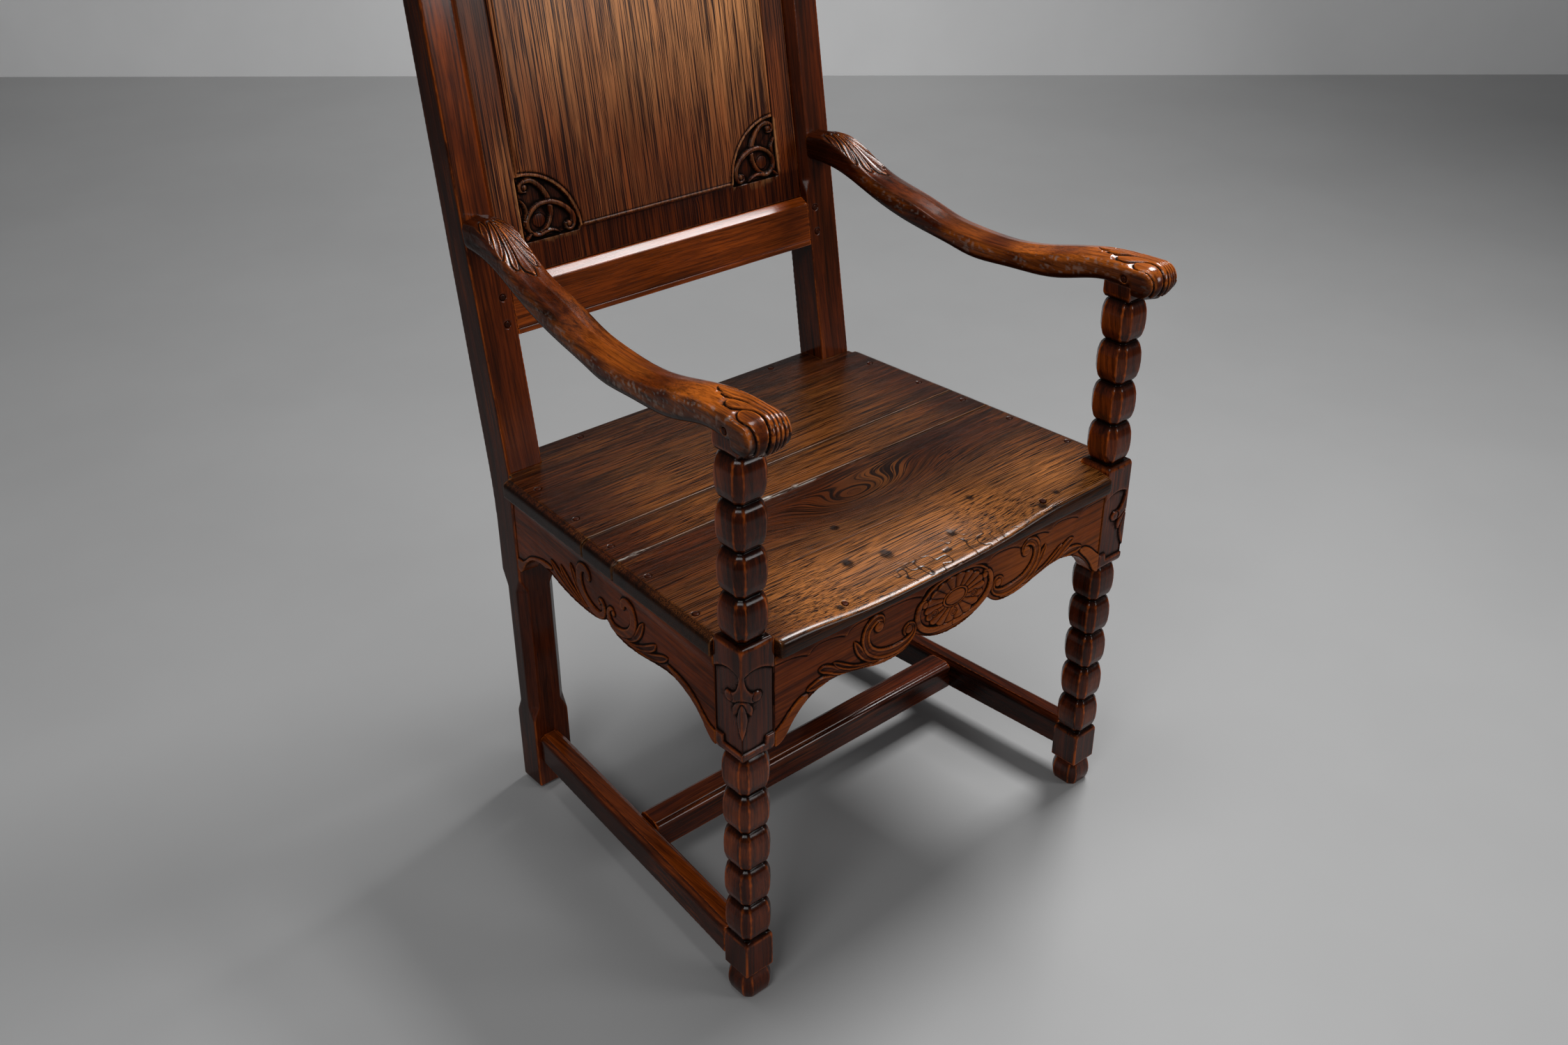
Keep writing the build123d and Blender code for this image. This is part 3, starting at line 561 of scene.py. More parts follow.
FINISHES = {
    "frame_oak": Finish("frame_dark", "frame_mid", "frame_worn"),
    "arm_oak": Finish(
        "arm_dark", "arm_mid", "arm_worn", dash=(30.0, 700.0), dashed=0.3, wax=0.55, patchy=0.2),
    "apron_oak": Finish(
        "apron_dark", "apron_mid", "apron_worn", gloss=0.2, dashed=0.2, wax=0.14, patchy=0.3),
    "panel_oak": Finish(
        "panel_dark", "panel_mid", "panel_worn", contrast=0.7, gloss=0.25, dash=(8.0, 800.0),
        dashed=1.0, wax=0.34, sway=0.003, patchy=0.2),
    "seat_oak": Finish(
        "seat_dark", "seat_mid", "seat_worn", contrast=1.0, gloss=0.2, dash=(14.0, 1250.0),
        dashed=1.0, sway=0.008, patchy=0.25),
    "peg_oak": Finish("peg_dark", "peg_mid", "frame_mid", gloss=0.26, wax=0.15),
}
BASE_SHINE = 0.02       # the wood's own specular level: nearly all of the shine is the wax's


class Grain:
    """The noises of one oak, drawn out along its grain, and where it is hollow, dusty or porous."""

    def __init__(self, make, finish):
        self.make = make
        self.vector = make.attribute("grain", "Vector")
        bend = make.noise(make.stretch(self.vector, (5.0, 9.0, 9.0)), detail=1.0, output="Color")
        self.vector = make.add(self.vector, make.stretch(bend, (0.0, finish.sway, finish.sway)))
        self.bands = self.streaks(2.0, 60.0)
        self.lines = self.streaks(6.0, 240.0, rough=0.6)
        self.dashes = self.streaks(*finish.dash, rough=0.6)
        self.pores = self.streaks(45.0, 1500.0, detail=1.0)
        self.patches = self.streaks(5.0, 12.0, detail=3.0, rough=0.6)
        self.broken = self.streaks(30.0, 120.0, detail=3.0, rough=0.7)
        self.hollow = make.attribute("hollow")
        self.dust = make.math("MULTIPLY", make.attribute("dust"), make.span(self.broken, 0.42, 0.58))
        self.open_pores = make.math("MULTIPLY", make.span(self.pores, 0.62, 0.72), 0.6)

    def streaks(self, along, across, detail=2.0, rough=0.5):
        """Noise with so many features in a metre along and across the grain."""
        stretched = self.make.stretch(self.vector, (along, across, across))
        return self.make.noise(stretched, detail=detail, rough=rough)


def oak_colour(make, grain, finish):
    """Growth bands and patches, then wear and painted sheen, dashes, pores, dirt and painted shade, and dust,
    each over the last.
    """
    tones = bpy.context.scene.wainscot_oak
    dark, mid, worn = (tuple(getattr(tones, tone)) for tone in (finish.dark, finish.mid, finish.worn))
    hollow, dust = tuple(tones.hollow), tuple(tones.dust)

    def times(first, second, clamp=False):
        return make.math("MULTIPLY", first, second, clamp)

    body = make.math("ADD", times(grain.bands, 0.5), times(grain.lines, 0.5))
    body = make.span(body, 0.5 - 0.17 / finish.contrast, 0.5 + 0.13 / finish.contrast)
    shade = make.mix(body, dark, mid)
    light_patch = times(make.span(grain.patches, 0.50, 0.75), finish.patchy)
    shade = make.mix(times(light_patch, make.span(grain.lines, 0.35, 0.6)), shade, worn)
    dark_patch = times(make.span(grain.patches, 0.46, 0.26), 0.6)
    shade = make.mix(dark_patch, shade, dark)

    # Wear, and on the back panel and the rear posts a painted sheen, lighten towards the worn tone.
    touch = times(make.attribute("touch"), make.span(grain.lines, 0.30, 0.55, 0.45, 1.0))
    shade = make.mix(touch, shade, worn)
    dark_dashes = times(make.span(grain.dashes, 0.47, 0.58), finish.dashed)
    shade = make.mix(dark_dashes, shade, tuple(0.7 * c for c in dark))
    rubbed = times(make.attribute("edge"), make.span(grain.broken, 0.34, 0.60), clamp=True)
    shade = make.mix(times(rubbed, 0.9), shade, worn)
    shade = make.mix(grain.open_pores, shade, hollow)
    # Dirt, and in places painted shade, darken towards the dark tone.
    grime = times(make.attribute("grime"), make.span(grain.broken, 0.2, 0.6, 0.75, 1.0))
    shade = make.mix(grime, shade, tuple(0.4 * c for c in dark))
    shade = make.mix(grain.hollow, shade, hollow)
    return make.mix(grain.dust, shade, dust)


def oak_wax(make, grain, finish):
    """Gloss of the waxed surface: dull in hollows, pores and dust, and less wax where dirt and painted shade
    lie.
    """
    rough = make.span(grain.broken, 0.2, 0.8, finish.gloss - 0.04, finish.gloss + 0.08)
    for dull, more in ((grain.hollow, 0.25), (grain.dust, 0.4)):
        rough = make.math("ADD", rough, make.math("MULTIPLY", dull, more))
    rough = make.math("ADD", rough, make.math("MULTIPLY", grain.open_pores, 0.15), clamp=True)
    make.set(make.shader.inputs["Roughness"], rough)
    make.shader.inputs["Specular IOR Level"].default_value = BASE_SHINE
    # less wax where dirt and painted shade lie
    bare = make.math("MAXIMUM", grain.hollow, make.math("MULTIPLY", make.attribute("grime"), 0.7))
    waxed = make.math("MULTIPLY", make.math("SUBTRACT", 1.0, bare), finish.wax)
    make.set(make.shader.inputs["Coat Weight"], waxed)
    make.shader.inputs["Coat Roughness"].default_value = finish.gloss


def oak_relief(make, grain, finish):
    """Bumps of the dashes, the pores and the broken surface, whose distances are in metres."""
    ridges = make.bump(make.math("MULTIPLY", grain.dashes, -1.0), 0.0006, 0.4 * finish.dashed + 0.15)
    pitted = make.math("MULTIPLY", make.span(grain.pores, 0.58, 0.74), -1.0)
    ridges = make.bump(pitted, 0.0005, 0.2, ridges)
    return make.bump(grain.broken, 0.0005, 0.25, ridges)


def slot_oak(slot):
    """The old waxed oak of a slot, made once."""
    name = "waxed_" + slot
    if name in bpy.data.materials:
        return bpy.data.materials[name]
    finish = FINISHES[slot]
    make = Recipe(name)
    grain = Grain(make, finish)
    make.set(make.shader.inputs["Base Color"], oak_colour(make, grain, finish))
    oak_wax(make, grain, finish)
    make.set(make.shader.inputs["Normal"], oak_relief(make, grain, finish))
    return make.material


# ---------------------------------------------------------------- grain directions
def upright(points):
    """Grain that runs up, with the lean of the back followed above the seat."""
    lean = bpy.context.scene.wainscot_shape.lean
    above_seat = np.maximum(points[:, 2] - node_box("seat_board_rear")[1][2], 0)
    return points[:, 2], points[:, 0], points[:, 1] - above_seat * math.tan(lean)


def crosswise(points):
    """Grain that runs from side to side."""
    return points[:, 0], points[:, 2], points[:, 1]


def lengthwise(points):
    """Grain that runs from front to back."""
    return points[:, 1], points[:, 2], points[:, 0]


def boardwise(points):
    """Grain of a flat board that runs from side to side."""
    return points[:, 0], points[:, 1], points[:, 2]


# ---------------------------------------------------------------- plain pieces
PEG_RUB = 0.2           # how little a peg's edges are rubbed


def plain_piece(node, seed, grain, cell=0.8, slot="frame_oak", soften=1.0, pegs=(), touch=0.0, shade=0.0):
    """A piece without carving: worn edges and hand-planed waves, lightened on the faces that don't look
    sideways by wear, which on the rear posts is a painted sheen, and painted shade on those that do."""
    piece = Piece(node, cell, seed)
    boxes = [box for group in pegs for box in solid_boxes(group)]
    piece.soften(soften * size("edge_reach"), boxes)
    piece.wave(size("hand_waves"), 60.0)
    sideways = step(np.abs(piece.normals()[:, 0]), 0.5, 0.9)
    # Wear on the faces that don't look sideways; on the rear posts a painted sheen.
    piece.touch += touch * (1 - sideways)
    # Painted shade on the faces that look sideways.
    piece.grime += shade * sideways
    if slot == "peg_oak":
        piece.rub[:] = PEG_RUB
    if node == "seat_pegs":
        piece.points = sagged(piece.points)
    piece.finish(slot, *grain(piece.points))


# ---------------------------------------------------------------- arms
# Lobes of the fan on an arm's hand-rest, as stops (along the top, towards the left, half width).
FAN = (
    ((462, -19, 0.4), (475, -19, 2.5), (495, -18.5, 2.6), (520, -17.5, 2.4), (545, -16, 2.4),
     (566, -13, 1.6)),
    ((490, -24, 0.6), (510, -23.5, 2.5), (530, -22.5, 2.4), (548, -21.5, 2)),
    ((443, -10.5, 0.4), (450, -10, 4), (460, -10.5, 5.6), (475, -12.6, 4.4), (495, -13.4, 2.8),
     (520, -12.6, 2.3), (545, -10.6, 2.3), (566, -7, 1.6)),
    ((461, -1, 0.4), (466, -1.5, 2.6), (474, -3, 3.8), (485, -6.4, 2.9), (500, -8, 2.3),
     (520, -7.6, 2.3), (545, -5.2, 2.4), (566, -2, 1.6)),
    ((479, 6, 0.6), (483, 7, 4), (490, 5.6, 5.6), (500, 1.5, 4.8), (512, -2, 3.4), (528, -1.8, 2.8),
     (545, 0.6, 2.5), (566, 3, 1.6)),
    ((504, 10, 1), (508, 11, 5), (515, 11, 8), (528, 10.4, 7.2), (542, 10.6, 6), (556, 12, 4.5),
     (568, 13, 3)),
)
# Upper half of the leaf at an arm's rear end, and its middle lobe.
PALMETTE = (
    ((24, 10, 1), (38, 14, 3), (52, 18, 3), (62, 20, 0.6)),
    ((32, 4, 1), (48, 8, 2.6), (64, 12.5, 3.6), (78, 16.5, 3.6), (86, 18, 1)),
    ((40, 1.6, 1), (65, 4.5, 2), (85, 7, 2.6), (100, 10, 3), (108, 11, 1)),
)
PALMETTE_MIDDLE = ((50, 0, 1), (80, 0, 2.8), (100, 0, 5), (112, 0, 5.4), (119, -0.6, 3.2), (126, -1, 0.4))
FAN_GROUND = 9.0                # how far round the fan its ground is sunk
LEAF_GROUND = 5.0               # and round the leaf
HAND_ROLL = 21.0                # radius of the hand-rest's roll
BIN = 4.0                       # the top's height is read along the arm in steps of this length
LIP_INSIDE, LIP_HALF = 2.5, 2.6         # the dented upper edge: in from the arm's side, half width
LIP_DENTS = 0.45                # depth of its dents


def along_top(points, along):
    """Distance along an arm's top from its rear end, and on over the hand-rest's roll."""
    height = points[:, 2]
    nose = along.max()
    roll_height = height[along > nose - 0.3].mean()
    bins = np.arange(0, nose - HAND_ROLL, BIN)
    tops = [height[(along > b - BIN / 2) & (along < b + BIN / 2)].max() for b in bins]
    lengths = np.concatenate([[0], np.cumsum(np.hypot(np.diff(bins), np.diff(tops)))])
    run = np.interp(along, bins, lengths)
    turn = np.arctan2(along - (nose - HAND_ROLL), height - roll_height)
    rolled = along > nose - HAND_ROLL
    run[rolled] = lengths[-1] + HAND_ROLL * np.maximum(turn[rolled], 0)
    return run


def arm_carving(run, aside, fan_shift):
    """Depths of the fan on the hand-rest and of the leaf at the rear end."""
    fan = Relief(np.stack([run, aside + fan_shift], axis=1), size("ground") * 1.1)
    for lobe in FAN:
        fan.stroke(lobe)
    fan_sunk = step(fan.away, FAN_GROUND, 0.0) * step(run, 440, 452)
    leaf = Relief(np.stack([run, aside], axis=1), size("ground") * 0.7)
    for lobe in PALMETTE:
        leaf.stroke(lobe, "channel")
        leaf.stroke(turned_over(lobe), "channel")
    leaf.stroke(PALMETTE_MIDDLE)
    return np.maximum(fan.depths(fan_sunk), leaf.depths(step(leaf.away, LEAF_GROUND, 0.0)))


def arm(node, seed, side, fan_shift):
    """An arm: rolled and fanned hand-rest, leaf at the rear, rubbed and dented left upper edge."""
    piece = Piece(node, 0.75, seed)
    piece.soften(1.6)
    low, high = node_box("front_post_left" if side < 0 else "front_post_right")
    post = (low + high)[:2] / 2
    rear = np.array([side * size("arm_rear_across"), size("arm_rear_back")])
    ahead = (post - rear) / np.hypot(*(post - rear))
    leftward = np.array([ahead[1], -ahead[0]])
    flat = piece.points[:, :2] - rear
    along = flat @ ahead
    aside = flat @ leftward
    run = along_top(piece.points, along)

    normals = piece.normals()
    sideways = np.abs(normals[:, :2] @ leftward)
    top = step(sideways, 0.93, 0.72) * step(np.maximum(normals[:, 2], normals[:, :2] @ ahead), 0.0, 0.3)
    lip = bell(aside - np.abs(aside).max() + LIP_INSIDE, LIP_HALF) * step(normals[:, 2], -0.4, 0.3)
    rough = step(drift(piece.points, 3.2, seed + 5), 0.0, 0.6) * lip
    depths = arm_carving(run, aside, fan_shift) * top + LIP_DENTS * rough
    piece.points -= depths[:, None] * normals
    piece.wave(size("hand_waves") * 0.6, 90.0)

    past_leaf = step(run, 60, 130)
    worn = 0.9 * lip * past_leaf * step(drift(piece.points, 24.0, seed + 6), -0.8, 0.3)
    crown = step(normals[:, 2], 0.3, 0.9)
    rubbed = step(drift(piece.points, 45.0, seed + 7), -0.7, 0.5)
    piece.touch = worn + crown * rubbed * (0.1 + 0.6 * step(run, 200, 400))
    piece.touch *= 1 - 0.75 * step(run, 150, 40)
    piece.dust = 0.3 * rough * past_leaf
    # Darker at the rear end.
    piece.lay_dirt_and_shade(0.75 * step(run, 70, 20))
    # Painted shade on the faces that look down.
    piece.lay_dirt_and_shade(0.75 * step(normals[:, 2], 0.25, -0.25))
    piece.lay_dirt_and_shade(0.5 * step(rubbed, 0.4, 0.0) * step(run, 330, 200))
    piece.finish("arm_oak", along, piece.points[:, 2], aside)


# ---------------------------------------------------------------- front posts
# On a block's face, as stops (from the outer corner, height, half width).
BLOCK_CURL = ((0, 441, 4), (0, 428, 6), (4, 417, 6.5), (12, 410, 5.5), (19, 407.5, 5.8))
BLOCK_BOSS = (21, 408, 6.3)
BLOCK_LEAVES = (
    ((2, 407, 3), (7, 402, 4), (11.5, 396, 3.8), (13, 390, 1.6)),
    ((0, 404, 3), (1, 396, 5.5), (1.5, 385, 7), (0.5, 374, 5.5), (0, 364, 1.5)),
)
BLOCK_STEP = (345.0, 354.0, 31.0)       # outer and inner height of the step, and where it changes
BLOCK_ARCH = (441.0, 8.0, 20.0, 22.0)   # top of the sunk ground, its fall, and the arch's middle and half
BLOCK_CARVED = (333.0, 452.0)           # heights between which a block is carved
BLOCK_SHARP = (340.0, 455.0)            # heights between which its edges are rubbed less
BEAD_PITCH = 50.0
BEAD_RUNS = ((83.5, 5), (470.6, 4))     # lowest notch of a run of beads, and how many beads
NOTCH_DEEP, NOTCH_HALF = 1.7, 3.6       # how much deeper the notches are cut, and over which half
SHOULDER = 0.7                          # how much the beads' shoulders are worn


def block_relief(inward, height, drop, full):
    """Depths of the curl, the leaves and the sunk ground on one face of a front post's block."""
    relief = Relief(np.stack([inward, height + drop], axis=1), full)
    relief.stroke(BLOCK_CURL, "flat")
    relief.ball(*BLOCK_BOSS)
    for leaf in BLOCK_LEAVES:
        relief.stroke(leaf, "round")
    outer, inner, change = BLOCK_STEP
    foot = outer + (inner - outer) * step(inward, change - 0.5, change + 0.5)
    crown, fall, middle, half = BLOCK_ARCH
    top = crown - drop - fall * ((inward - middle) / half) ** 2
    sunk = step(height, foot - 0.6, foot + 0.6) * step(height, top + 2, top - 2)
    return relief.depths(sunk)


def front_post(node, seed, side, drop):
    """A beaded front post with its carved apron block."""
    piece = Piece(node, 0.85, seed)
    piece.soften(size("edge_reach") * 0.9)
    piece.keen = 1.9
    piece.rub[(piece.points[:, 2] > BLOCK_SHARP[0]) & (piece.points[:, 2] < BLOCK_SHARP[1])] = 0.45
    low, high = node_box(node)
    outer = low[0] if side < 0 else high[0]
    normals = piece.normals()
    across, back, height = piece.points.T
    in_block = (height > BLOCK_CARVED[0]) & (height < BLOCK_CARVED[1])
    full = size("ground") * 1.1
    for facing, inward in (((0, -1, 0), np.abs(outer - across)), ((side, 0, 0), back - low[1])):
        depths = block_relief(inward.copy(), height.copy(), drop, full) * in_block
        piece.press(facing, depths, normals)
    piece.wave(size("hand_waves"), 45.0)

    shade = drift(piece.points * (1, 1, 0.2), 30.0, seed + 3)
    piece.lay_dirt_and_shade(0.45 * step(shade, 0.0, 0.9))
    deeper = np.zeros(len(height))
    for bottom, beads in BEAD_RUNS:
        into_bead = (height - bottom) / BEAD_PITCH
        from_notch = BEAD_PITCH * np.abs(into_bead - np.round(into_bead))
        on_beads = step(into_bead, -0.15, 0.0) * step(into_bead, beads + 0.15, beads)
        deeper += on_beads * (NOTCH_DEEP * bell(from_notch, NOTCH_HALF) + SHOULDER * step(from_notch, 17, 4))
        # Dirt and painted shade in and round each bead's notch.
        piece.lay_dirt_and_shade(on_beads * bell(from_notch, 6.5))
        piece.touch += 0.3 * on_beads * step(from_notch, 9, 20) * step(shade, 0.4, -0.4)
    outward = piece.points[:, :2] - (low + high)[:2] / 2
    away = np.hypot(*outward.T)
    piece.points[:, :2] -= deeper[:, None] * outward / np.maximum(away, 1)[:, None]
    piece.finish("frame_oak", *upright(piece.points))


# ---------------------------------------------------------------- aprons
# The front apron's left half, as stops (across, height, half width).
FRONT_BORDER = (
    (-254, 341, 11), (-245, 345, 10), (-236, 355, 7.5), (-226, 366, 6.3), (-217, 373.5, 5.2),
    (-210, 377, 2.5))
FRONT_LOBES = (
    ((-208.5, 383, 1.2), (-201, 383.4, 4.5), (-190, 384.5, 5.5), (-178, 382.5, 4.6), (-163, 379, 3.6),
     (-148, 375.5, 3)),
    ((-192, 400, 1.5), (-187, 398.5, 4.4), (-178, 394, 5), (-167, 387, 4), (-152, 380.5, 3),
     (-135, 375.5, 2.2), (-118, 373, 1.5)),
    ((-173, 400, 0.5), (-168, 395.5, 2.8), (-158, 388.5, 3.3), (-145, 381.8, 2.5), (-130, 377.6, 1.9),
     (-112, 374.6, 1.2)),
    ((-144.3, 412, 0.5), (-141.5, 406, 3), (-137, 397.5, 4.4), (-130, 388, 4), (-121, 380.5, 3),
     (-110, 376, 2)),
)
FRONT_STEM = (
    (-152, 374.5, 2.6), (-137, 372.5, 2.6), (-120, 371, 2.6), (-100, 370.5, 2.6), (-85, 371, 2.6),
    (-73, 373.5, 2.4))
FRONT_SCROLL = (
    (-104.5, 417, 1.4), (-105.5, 424, 2.6), (-111, 427.4, 3.9), (-119, 426, 5), (-126, 420, 5.2),
    (-129, 411, 5.2), (-128, 402, 5.3), (-123.5, 393, 5.4), (-116, 386, 5.6), (-107, 381, 5.8),
    (-95, 378, 5.8), (-82, 377, 5.6), (-70, 379, 4.8), (-61, 384, 3.4), (-57.6, 391, 2.4),
    (-60, 397.6, 2), (-66, 400, 1.8), (-71.5, 397.6, 1.6), (-73, 393, 1.3), (-71, 388.6, 0.8))
FRONT_EYES = ((-110, 416, 6), (-66, 393.5, 5))          # across, height, radius
MARGIN_CUSPS = (-207, -156, -47, 54, 107, 156, 207)     # where the plain margin hangs down in a point
CUSP_HANG = 9.0
CUSP_HALVES = (14, 5)           # how wide a cusp is to its left and its right

# The middle of the front apron: stops from its own middle line.
CARTOUCHE_MIDDLE = 3.3
CARTOUCHE_FRAME = (
    (46, 417.5, 1.6), (51, 416.5, 2.4), (55.3, 411, 3), (57, 402, 3.1), (54.5, 392.5, 3.3),
    (48, 384, 3.4), (37.5, 377.5, 3.4), (23.5, 373.8, 3.2), (8, 372.4, 3), (0, 372.2, 3))
CARTOUCHE_ARCH = ((49, 420, 1.2), (38, 428, 1.3), (24, 433, 1.3), (8, 435, 1.3), (0, 435.2, 1.3))
CARTOUCHE_KNOB = (46.5, 413, 4)
ROSETTE = (403.0, 47.0, 30.0)           # height of its middle, half width, half height
BOSS = (405.0, 19.0, 11.0)
PETALS = 18
PETAL_RINGS = ((-30.5, 396), (-1, 386), (30, 397))
PETAL_RING = ((4.6, 0.8), (2.6, 0.55))  # radius and level of a ring's outer and inner round

# A side apron's scroll: stops from the notch between its two scrolls.
SIDE_SCROLL = (
    (35, 410.5, 4), (36.8, 416, 4.6), (43.5, 419, 5), (51.8, 416, 5.4), (55.8, 407, 5.6), (55, 396, 5.6),
    (49.6, 386, 5.4), (40.6, 378.6, 5), (28.6, 374, 4.8), (17, 372.6, 4.6), (8.6, 376.4, 3.8),
    (4.6, 384, 3), (6, 391.4, 2.6), (11, 394.6, 2.4), (15, 392.4, 1.6))
SIDE_LOBES = (
    ((120.5, 391.5, 0.5), (113.8, 387.5, 3.6), (103.8, 382, 4.6), (90.8, 376.5, 4), (75.8, 372, 3),
     (60.8, 369, 2)),
    ((98, 396, 0.5), (93.8, 390.5, 3.6), (84.8, 384, 4.3), (72.8, 377.5, 3.5), (57.8, 371.5, 2.5),
     (43.8, 369, 1.5)),
    ((75, 410, 0.5), (71.3, 403.5, 3.5), (67.3, 395, 4.4), (60.8, 385.5, 4), (51.8, 377.5, 3),
     (40.8, 371.5, 2)),
)
SIDE_EYE = (14.5, 390.5, 3.4)
# Its borders: stops from the front post and from the rear post.
SIDE_BORDER_FRONT = (
    (3, 342, 10), (14, 345, 9), (24, 355, 6), (36, 365.5, 5.5), (50, 374, 5), (65, 378.5, 4.2),
    (84, 382.5, 1.5))
SIDE_BORDER_REAR = (
    (6, 345, 9), (16, 347, 8), (24, 355, 5.5), (36, 365.5, 5), (52, 373, 4.5), (68, 377.5, 4),
    (84, 380.5, 2))


def rosette(relief, middle):
    """The petalled rosette with its oval boss."""
    up, half_width, half_height = ROSETTE
    across = relief.places[:, 0] - middle
    rise = relief.places[:, 1] - up
    radius = np.hypot(across / half_width, rise / half_height)
    turn = np.arctan2(rise / half_height, across / half_width)
    swell = np.abs(np.cos(PETALS / 2 * turn))
    chosen = np.flatnonzero(radius < 1.1)
    outside = (radius - 0.9 - 0.08 * swell) * half_height
    relief.lay(chosen, outside[chosen], (0.2 + 0.58 * swell ** 0.6)[chosen])
    for ring_across, ring_up in PETAL_RINGS:
        for ring_radius, level in PETAL_RING:
            relief.ball(middle + ring_across, ring_up, ring_radius, level)
    up, half_width, half_height = BOSS
    radius = np.hypot(across / half_width, (relief.places[:, 1] - up) / half_height)
    chosen = np.flatnonzero(radius < 1.3)
    dome = 0.7 + 0.3 * np.sqrt(np.clip(1 - radius ** 2, 0, 1))
    rim = dome - 0.4 * step(radius, 0.72, 0.78) * step(radius, 0.9, 0.84)
    relief.lay(chosen, ((radius - 1) * half_height)[chosen], rim[chosen])


def front_apron_relief(places, full):
    """The leaf scrolls, the borders and the cartouche of the front apron."""
    relief = Relief(places, full)
    for start, way in ((0, 1), (2 * CARTOUCHE_MIDDLE, -1)):
        relief.stroke(placed(FRONT_BORDER, start, way), "flat")
        for lobe in FRONT_LOBES:
            relief.stroke(placed(lobe, start, way), "channel")
        relief.stroke(placed(FRONT_STEM, start, way), "flat", 0.9)
        relief.stroke(placed(FRONT_SCROLL, start, way), "channel")
        for eye in placed(FRONT_EYES, start, way):
            relief.ball(*eye)
    rosette(relief, CARTOUCHE_MIDDLE)
    for way in (-1, 1):
        relief.stroke(placed(CARTOUCHE_ARCH, CARTOUCHE_MIDDLE, way), "round")
        relief.stroke(placed(CARTOUCHE_FRAME, CARTOUCHE_MIDDLE, way), "flat")
        relief.ball(*placed([CARTOUCHE_KNOB], CARTOUCHE_MIDDLE, way)[0])
    return relief


def front_apron():
    """The front apron: its carving, a plain margin with hanging cusps, worn towards the right."""
    piece = Piece("front_apron", 0.7, 71)
    piece.soften(1.1)
    normals = piece.normals()
    across, _, height = piece.points.T
    relief = front_apron_relief(np.stack([across, height], axis=1), size("ground"))
    margin = np.full(len(across), size("margin"))
    left_half, right_half = CUSP_HALVES
    for cusp in MARGIN_CUSPS:
        away = np.where(across < cusp, (cusp - across) / left_half, (across - cusp) / right_half)
        margin -= CUSP_HANG * np.exp(-away)
    sunk = step(height, margin + 1.5, margin - 2.5) * (0.94 + 0.06 * drift(piece.points, 9.0, 70))
    piece.press((0, -1, 0), relief.depths(sunk), normals)
    piece.wave(size("hand_waves") * 0.6, 45.0)
    standing = step(relief.heights, 1.0, 1.8) * step(normals[:, 1], -0.6, -0.9)
    rubbed = step(across, -190, 130) * step(drift(piece.points, 60.0, 76), -0.9, 0.5)
    piece.touch = 0.3 * standing + 0.85 * rubbed
    # Darker above the plain margin, along the apron's top.
    piece.lay_dirt_and_shade(0.6 * step(height, margin - 2, margin + 8))
    piece.finish("apron_oak", *crosswise(piece.points))


def side_apron(node, seed, side):
    """A side apron with its pair of scrolls and its borders."""
    piece = Piece(node, 0.8, seed)
    piece.soften(1.1)
    name = "left" if side < 0 else "right"
    front = node_box("front_post_" + name)
    rear = node_box("rear_post_" + name)
    outer = 0 if side < 0 else 1
    start = np.array([front[outer][0], front[1][1]])
    stop = np.array([rear[outer][0], rear[0][1]])
    span = np.hypot(*(stop - start))
    ahead = (stop - start) / span
    facing = (side * ahead[1], -side * ahead[0], 0)
    normals = piece.normals()
    along = (piece.points[:, :2] - start) @ ahead
    height = piece.points[:, 2]

    relief = Relief(np.stack([along, height], axis=1), size("ground") * 0.9)
    relief.stroke(SIDE_BORDER_FRONT, "flat")
    relief.stroke(placed(SIDE_BORDER_REAR, span, -1), "flat")
    for way in (-1, 1):
        for lobe in SIDE_LOBES:
            relief.stroke(placed(lobe, span / 2, way), "channel")
        relief.stroke(placed(SIDE_SCROLL, span / 2, way), "flat")
        relief.ball(*placed([SIDE_EYE], span / 2, way)[0])
    top = size("margin") - 4
    sunk = step(height, top + 4, top - 8) * (0.94 + 0.06 * drift(piece.points, 9.0, 77))
    piece.press(facing, relief.depths(sunk), normals)
    piece.wave(size("hand_waves") * 0.6, 45.0)
    piece.touch = 0.15 * step(relief.heights, 1.0, 1.8)
    # Painted shade all over, as the apron looks sideways, and random darker patches.
    piece.lay_dirt_and_shade(0.15 + 0.35 * step(drift(piece.points, 60.0, seed), -0.2, 0.8))
    piece.finish("apron_oak", along, height, piece.points[:, 0])


# ---------------------------------------------------------------- back panel
# A spandrel's strap, from the field's corner: stops (across, up, half width).
STRAP = (
    (54, 8.6, 1.6), (54.6, 3.8, 2.4), (59.6, 2.4, 3), (64, 7.4, 3.1), (64.6, 15.5, 3.1), (60.6, 22.6, 3.1),
    (52.5, 30, 3.1), (43.6, 34.8, 3.1), (33.6, 37.3, 2.8), (22.5, 36.2, 2.6), (12.8, 31.2, 2.4),
    (5.8, 23.4, 2.3), (4.2, 16, 2.3), (6.6, 9, 2.2), (11.6, 4.8, 2.2), (18, 3, 2.2), (26.5, 5, 2.2),
    (33.5, 5.6, 2), (40.5, 3.4, 1.5), (45.5, 0, 0.6))
STRAP_BALL = (58, 7.5, 3.6)
STRAP_CORNER = ((7, 6, 1.2), (3.5, 3, 1.8), (0.5, 0.5, 1.4))
DISC = (21.0, 19.0, 8.0)
DISC_LEVEL = 0.4
SPANDREL_SUNK = 3.4             # depth of a spandrel's ground
STRAP_PROUD = 1.1               # how far its strap stands out past the field
RIM_GROOVE = (4.2, 0.9, 0.9)    # round a spandrel: its distance from it, half width and depth
FIELD_GROOVE = (5.0, 0.8, 0.6)  # inside the field's edge: the same
PANEL_STAINS = ((-115, 290, 45, 90), (-28, 350, 38, 70), (10, 275, 90, 30))     # across, up, half sizes


